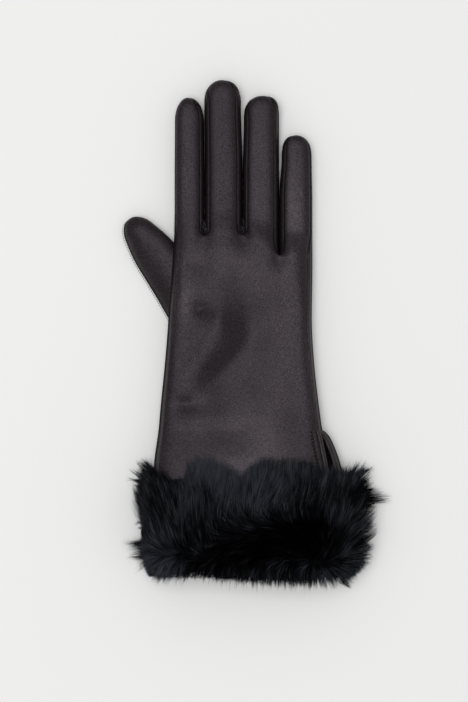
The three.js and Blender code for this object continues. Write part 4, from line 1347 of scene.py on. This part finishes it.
def on_wrist(share, y):
    """Place and way out at shares round the wrist and heights, straight between the rows and columns."""
    row = np.clip((y - FUR_ROWS[0]) / (FUR_ROWS[1] - FUR_ROWS[0]), 0, len(FUR_ROWS) - 1.001)
    column = np.clip(share, 0, 1) * (FUR_COLUMNS - 1.001)
    r, c = row.astype(int), column.astype(int)
    u, v = (row - r)[..., None], (column - c)[..., None]

    def between(grid):
        """The grid's values between its rows and columns."""
        return lerp(lerp(grid[r, c], grid[r, c + 1], v), lerp(grid[r + 1, c], grid[r + 1, c + 1], v), u)

    place, way = between(wrist_places), between(wrist_ways)
    return place, unit(way)


def pile_depth(share, y):
    """The pile's depth: the table by height, thinning out at the two ends of the C at the vent."""
    ends = smoothstep(np.minimum(share + 0.03, 1 - share), -0.015, 0.05)
    return smooth_column(PILE, "depth", y) * ends


def underfur_grids():
    """A closed C of underfur: outer and inner skin, both hems and both ends, its face lumped by noise."""
    share, y = np.meshgrid(np.linspace(0, 1, 240), np.linspace(UNDERFUR_Y[0], UNDERFUR_Y[1], 66))
    place, way = on_wrist(share, y)
    lumps = sum(deep * noise(share * WRIST_ROUND, y, seed, scale) for deep, seed, scale in UNDERFUR_LUMPS)
    depth = FUR_CLEAR + UNDERFUR_FACE + pile_depth(share, y) * UNDERFUR * (1 + lumps)
    rim = np.minimum(y - UNDERFUR_Y[0], UNDERFUR_Y[1] - y)
    depth = lerp(FUR_CLEAR + UNDERFUR_RIM, depth, np.sqrt(np.clip(rim / UNDERFUR_ROUND, 0, 1)))
    outer, inner = place + way * depth[..., None], place + way * (FUR_CLEAR + UNDERFUR_BACK)
    outer[..., 2] = np.maximum(outer[..., 2], 0.25)
    inner[..., 2] = np.maximum(inner[..., 2], 0.6)
    back = inner[:, ::-1]
    ends = [np.stack([inner[:, 0], outer[:, 0]], 1), np.stack([outer[:, -1], inner[:, -1]], 1)]
    hems = [np.stack([outer[-1], inner[-1]]), np.stack([inner[0], outer[0]])]
    return [outer, back, *ends, *hems]


def combed(x, y):
    """The comb's heading, length, stand and lightness at places: its rows weighed by bells round them."""
    px, py, heading, length, stand, light = map(np.array, zip(*COMB))
    at_x, at_y = photo_place(px, py)
    away = (x[:, None] - at_x) ** 2 + (y[:, None] - at_y) ** 2
    weight = np.exp(-away / (2 * (COMB_REACH / 2) ** 2)) + 1e-9
    weight /= weight.sum(1, keepdims=True)
    heading = np.radians(heading)
    turn = np.arctan2(weight @ np.sin(heading), weight @ np.cos(heading))
    return turn, weight @ length, weight @ stand, weight @ light


def room_inside(x, y):
    """How far inside the fur's outline a place is, in millimetres, by its nearest edge across or along."""
    px, py = photo_pixel(x, y)
    top = py - np.interp(px, FUR_TOP["x"], FUR_TOP["y"])
    foot = np.interp(px, FUR_FOOT["x"], FUR_FOOT["y"]) - py
    left = px - np.interp(py, FUR_LEFT["y"], FUR_LEFT["x"])
    right = np.interp(py, FUR_RIGHT["y"], FUR_RIGHT["x"]) - px
    return np.minimum(np.minimum(top, foot), np.minimum(left, right)) * MM_PER_PIXEL


def nearest(points, centres):
    """Index of the nearest centre for each point, worked out in slices."""
    slices = np.array_split(points, max(1, len(points) // 4000))
    return np.concatenate([((part[:, None] - centres) ** 2).sum(-1).argmin(1) for part in slices])


def hair_ways(roots, ways, share, rng):
    """Each hair's way over the skin as it is combed, its height, its reach and how light it is."""
    count = len(roots)
    turn, length, stand, light = combed(roots[:, 0], roots[:, 1])
    upper = smoothstep(ways[:, 2], -0.25, 0.3)
    y = roots[:, 1]
    plain = np.stack([0.25 * ways[:, 0], smoothstep(y, -124, -108) * 2 - 1, 0 * y], -1)
    comb = lerp(plain, np.stack([np.cos(turn), np.sin(turn), 0 * turn], -1), upper[:, None])
    twist = SLOW_TURN * noise(roots[:, 0], y, seed=21, scale=16) + rng.normal(0, RANDOM_TURN, count)
    across, ahead = comb[:, 0], comb[:, 1]
    turned = [across * np.cos(twist) - ahead * np.sin(twist), across * np.sin(twist) + ahead * np.cos(twist)]
    comb[:, :2] = np.stack(turned, -1)
    flat = comb - ways * (comb * ways).sum(-1, keepdims=True)
    flat = unit(lerp(comb, flat, 0.7), 0.2)
    height = pile_depth(share, y) * lerp(HIDDEN_STAND, stand, upper) * rng.uniform(*HEIGHTS, count)
    reach = lerp(HIDDEN_LENGTH, length, upper) * rng.uniform(*REACHES, count)
    # Painted shade and highlight: the comb's lightness by place goes into the hairs' colour
    return flat, height, reach, lerp(HIDDEN_LIGHT, light, upper)


def drawn_together(tips, roots, per_lock, pull, rng):
    """How far each tip moves towards the tip of its lock's first hair, and the number of its lock."""
    count = len(tips)
    first = rng.permutation(count)[: max(1, count // per_lock)]
    lock = nearest(roots.astype(np.float32), roots[first].astype(np.float32))
    strength = pull * rng.uniform(0.4, 1.3, (count, 1))
    return (tips[first][lock] - tips) * strength, lock


def fur_over(count, share_range, y_range, seed):
    """Hairs over part of the cuff, drawn together at the tips into locks and cut at the fur's outline.

    At a share t of a hair it is out by height * (1 - (1 - t)^2.2) and along by its reach * t^1.35.
    """
    rng = np.random.default_rng(seed)
    share, y = rng.uniform(*share_range, count), rng.uniform(*y_range, count)
    places, ways = on_wrist(share, y)
    roots = places + ways * (FUR_CLEAR + ROOT_LEVEL * pile_depth(share, y))[:, None]
    flat, height, reach, light = hair_ways(roots, ways, share, rng)
    tips = roots + flat * reach[:, None] + ways * height[:, None]
    clumped, clump = drawn_together(tips, roots, HAIRS_PER_CLUMP, CLUMP_PULL, rng)
    locked, lock = drawn_together(tips + clumped, roots, HAIRS_PER_LOCK, LOCK_PULL, rng)
    shift = clumped + locked
    shade = rng.gamma(*LOCK_SHADES, count)[lock] * rng.uniform(*CLUMP_SHADES, count)[clump]
    wisp = rng.random(count) < WISP_SHARE
    slack = rng.uniform(*LOCK_SLACK, count)[lock] + rng.normal(0, 0.5, count)
    slack = slack + np.where(wisp, rng.uniform(0, WISP_REACH, count), 0)
    inside_root = np.maximum(room_inside(roots[:, 0], roots[:, 1]), 0.8)
    tips = tips + shift
    inside_tip = room_inside(tips[:, 0], tips[:, 1]) + slack
    cut = np.where(inside_tip < 0, inside_root / (inside_root - inside_tip), 1)
    t = np.linspace(0, 1, HAIR_ROWS)[None, :, None] * np.clip(cut, LEAST_LEFT, 1)[:, None, None]
    curve = roots[:, None] + ways[:, None] * height[:, None, None] * (1 - (1 - t) ** RISE_POWER)
    curve = curve + flat[:, None] * reach[:, None, None] * t**REACH_POWER + shift[:, None] * t**2
    curve[..., 2] -= (t[..., 0] ** 2) * DROOP * rng.uniform(0, 1, (count, 1))
    return curve, ways, light * shade, rng


def fur_tufts():
    """Fans of longer hairs out of the sides: each leaves its root within the spread, and droops."""
    rng = np.random.default_rng(35)
    curves, lights, t = [], [], np.linspace(0, 1, HAIR_ROWS)[None, :]
    for px, py, height, heading, spread, length, count, light in TUFTS.values():
        x, y = photo_place(px, py)
        lock = rng.integers(0, count // HAIRS_PER_TUFT_LOCK, count)
        spray = rng.normal(0, 0.6, count)[lock]
        turn = np.radians(heading + spread * spray + rng.normal(0, 3, count))
        bend = rng.normal(0, 0.25, count)[lock] - 0.25 * spray
        reach = length * rng.uniform(0.55, 1.15, count)[lock] * rng.uniform(0.55, 1.0, count)
        root = np.stack([x + rng.normal(0, 1.8, count), y + rng.normal(0, 2.6, count)], -1)[lock]
        aside = rng.normal(0, 0.75, (count, 2))
        way = np.stack([np.cos(turn), np.sin(turn)], -1)
        across = np.stack([-np.sin(turn), np.cos(turn)], -1)
        flat = root[:, None] + aside[:, None] * (1 - 0.85 * t[..., None])
        flat = flat + way[:, None] * (reach[:, None] * t)[..., None]
        flat = flat + across[:, None] * ((bend * reach)[:, None] * t**2 * 0.5)[..., None]
        high = rng.uniform(0.35, 1.1, count)[lock] + rng.normal(0, 0.06, count)
        z = height * high[:, None] + 1.6 * np.sin(np.pi * t * 0.8) - 2.2 * t**2
        curves.append(np.concatenate([flat, z[..., None]], -1))
        lights.append(light * rng.gamma(*LOCK_SHADES, count)[lock])
    curve = np.concatenate(curves)
    ways = np.tile([0.0, 0.0, 1.0], (len(curve), 1))
    return curve, ways, np.concatenate(lights), rng


def hair_mesh(name, curve, ways, light, rng, material):
    """Tapered ribbons along centre lines, each turned a little at random, as one mesh."""
    count = len(curve)
    curve[..., 2] = np.maximum(curve[..., 2], 0.12 + 0.25 * rng.random((count, 1)))
    along = unit(np.gradient(curve, axis=1), 1e-6)
    across = unit(np.cross(along, ways[:, None]), 1e-6)
    roll = rng.normal(0, 0.6, count)[:, None, None]
    side = across * np.cos(roll) + np.cross(along, across) * np.sin(roll)
    taper = (1 - np.linspace(0, 1, HAIR_ROWS)) ** 0.7
    half = HAIR_WIDTH / 2 * rng.uniform(0.6, 1.25, count)[:, None, None] * taper[None, :, None]
    points = np.concatenate([(curve - side * half)[:, :-1], (curve + side * half)[:, :-1], curve[:, -1:]], 1)
    points[..., 2] = np.maximum(points[..., 2], LOWEST_HAIR)
    n = HAIR_ROWS - 1
    quads = np.array([[k, k + n, k + 1 + n, k + 1] for k in range(n - 1)]).reshape(1, -1)
    start = (np.arange(count) * (2 * n + 1))[:, None]
    corners = np.concatenate([start + quads, start + np.array([[n - 1, 2 * n - 1, 2 * n]])], 1)
    sizes = np.tile([4] * (n - 1) + [3], count)
    place = np.tile(np.concatenate([np.arange(n) / n, np.arange(n) / n, [1]]), count)
    light = light * rng.uniform(0.2, 1.8, count) * np.where(rng.random(count) < PALE_HAIR_SHARE, PALER, 1)
    tint = np.repeat(np.clip(light, 0, 2), 2 * n + 1)
    mesh = mesh_of_arrays(name, points.reshape(-1, 3), corners.reshape(-1), sizes)
    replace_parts(finished(name, mesh, [material], "fur", {"along": place, "light": tint}), "fur_cuff")


def mesh_of_arrays(name, points, corners, sizes):
    """A mesh straight from arrays: points, the corners of its faces in a row, and each face's size."""
    mesh = bpy.data.meshes.new(name)
    mesh.vertices.add(len(points))
    mesh.vertices.foreach_set("co", ((points + SHIFT) * MM).astype(np.float32).reshape(-1))
    mesh.loops.add(len(corners))
    mesh.loops.foreach_set("vertex_index", corners.astype(np.int32))
    mesh.polygons.add(len(sizes))
    mesh.polygons.foreach_set("loop_start", (np.cumsum(sizes) - sizes).astype(np.int32))
    mesh.update(calc_edges=True)
    return mesh


# The colour of a hair by how light it is, a lightness that holds painted shade and highlight as well as its
# own tone
FUR_SHADES = (
    (0.12, (0.0004, 0.0004, 0.0005)),
    (0.5, (0.0062, 0.0068, 0.0088)),
    (1.0, (0.044, 0.048, 0.061)),
)
# The hairs over the cuff: how many, over what shares round the wrist and what heights, and their random seed
FUR_PARTS = {
    "fur_back_upper": (27000, (0.53, 1.0), (-112, -84.5), 31),
    "fur_back_lower": (26000, (0.53, 1.0), (-140, -110), 32),
    "fur_index_side": (9000, (0.44, 0.56), (-140, -84.5), 33),
    "fur_palm": (13000, (0.08, 0.46), (-140, -84.5), 34),
    "fur_outer_side": (8000, (0.0, 0.09), (-140, -84.5), 36),
}


def fur_material():
    """Dyed fur: blue-black, darker at the roots, each hair a little lighter or darker than the next, partly
    as painted shade and highlight.
    """
    material, tree, shader = graph("dyed_fur")
    light = attribute(tree, "light")
    root = ramp(tree, attribute(tree, "along"), (0.0, 0.25), (0.5, 1.0))
    feed(tree, shader["Base Color"], times(tree, ramp(tree, light, *FUR_SHADES), root))
    feed(tree, shader["Roughness"], 0.5)
    # Painted shade: the darkest hairs also lose most of their specular level
    feed(tree, shader["Specular IOR Level"], ramp(tree, light, (0.1, 0.004), (1.0, 0.1)))
    return material


points, quads = weld(underfur_grids())
underfur = make_object("underfur", points, quads, [matt_material("underfur")], "fur")
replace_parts(underfur, "fur_cuff")
guard_hair = fur_material()
for name, row in FUR_PARTS.items():
    hair_mesh(name, *fur_over(*row), guard_hair)
hair_mesh("fur_side_tufts", *fur_tufts(), guard_hair)


# Floor, light and camera

PHOTO_CENTRE = np.array([234, 351])
FRAME_HEIGHT = 702 * MM_PER_PIXEL * MM
LENS = 120
SENSOR = 36
LOOK_LEVEL = 0.012
SOFTBOX_PLACE = (-0.28, 0.05, 2.1)
SOFTBOX_SIZE = 1.25
SOFTBOX_POWER = 24
SKY_STRENGTH = 0.58
FLOOR_COLOUR = (0.81, 0.81, 0.804)
FLOOR_HALF = 3.0


def add_camera():
    """A long lens straight above the middle of the picture, at the distance at which its frame fits."""
    look_x, look_y = photo_place(*PHOTO_CENTRE)
    camera = bpy.data.objects.new("camera", bpy.data.cameras.new("camera"))
    camera.data.lens = LENS
    camera.data.sensor_width = SENSOR
    away = FRAME_HEIGHT * LENS / SENSOR
    camera.location = ((look_x + SHIFT[0]) * MM, (look_y + SHIFT[1]) * MM, LOOK_LEVEL + away)
    camera.data.clip_end = 20
    bpy.context.scene.collection.objects.link(camera)
    bpy.context.scene.camera = camera


def add_softbox():
    """A square soft light that faces the glove: tipped by its angle from overhead, turned by its heading."""
    data = bpy.data.lights.new("overhead_softbox", "AREA")
    data.shape, data.size, data.size_y = "RECTANGLE", SOFTBOX_SIZE, SOFTBOX_SIZE
    data.energy = SOFTBOX_POWER
    light = bpy.data.objects.new("overhead_softbox", data)
    light.location = SOFTBOX_PLACE
    x, y, z = SOFTBOX_PLACE
    light.rotation_euler = (math.atan2(math.hypot(x, y), z), 0, math.atan2(x, -y))
    bpy.context.scene.collection.objects.link(light)


def add_stage():
    """A pale floor and an even sky."""
    material, tree, shader = graph("pale_floor")
    feed(tree, shader["Base Color"], FLOOR_COLOUR)
    feed(tree, shader["Roughness"], 0.9)
    feed(tree, shader["Specular IOR Level"], 0.1)
    mesh = bpy.data.meshes.new("floor")
    corners = [(x * FLOOR_HALF, y * FLOOR_HALF, 0) for x, y in ((-1, -1), (1, -1), (1, 1), (-1, 1))]
    mesh.from_pydata(corners, [], [(0, 1, 2, 3)])
    mesh.materials.append(material)
    floor = bpy.data.objects.new("floor", mesh)
    bpy.context.scene.collection.objects.link(floor)
    world = bpy.data.worlds.new("studio")
    world.use_nodes = True
    sky = world.node_tree.nodes["Background"].inputs
    feed(world.node_tree, sky["Color"], (1, 1, 1))
    feed(world.node_tree, sky["Strength"], SKY_STRENGTH)
    bpy.context.scene.world = world


add_camera()
add_stage()
add_softbox()
bpy.context.scene.view_settings.view_transform = "Standard"
bpy.context.scene.view_settings.look = "None"
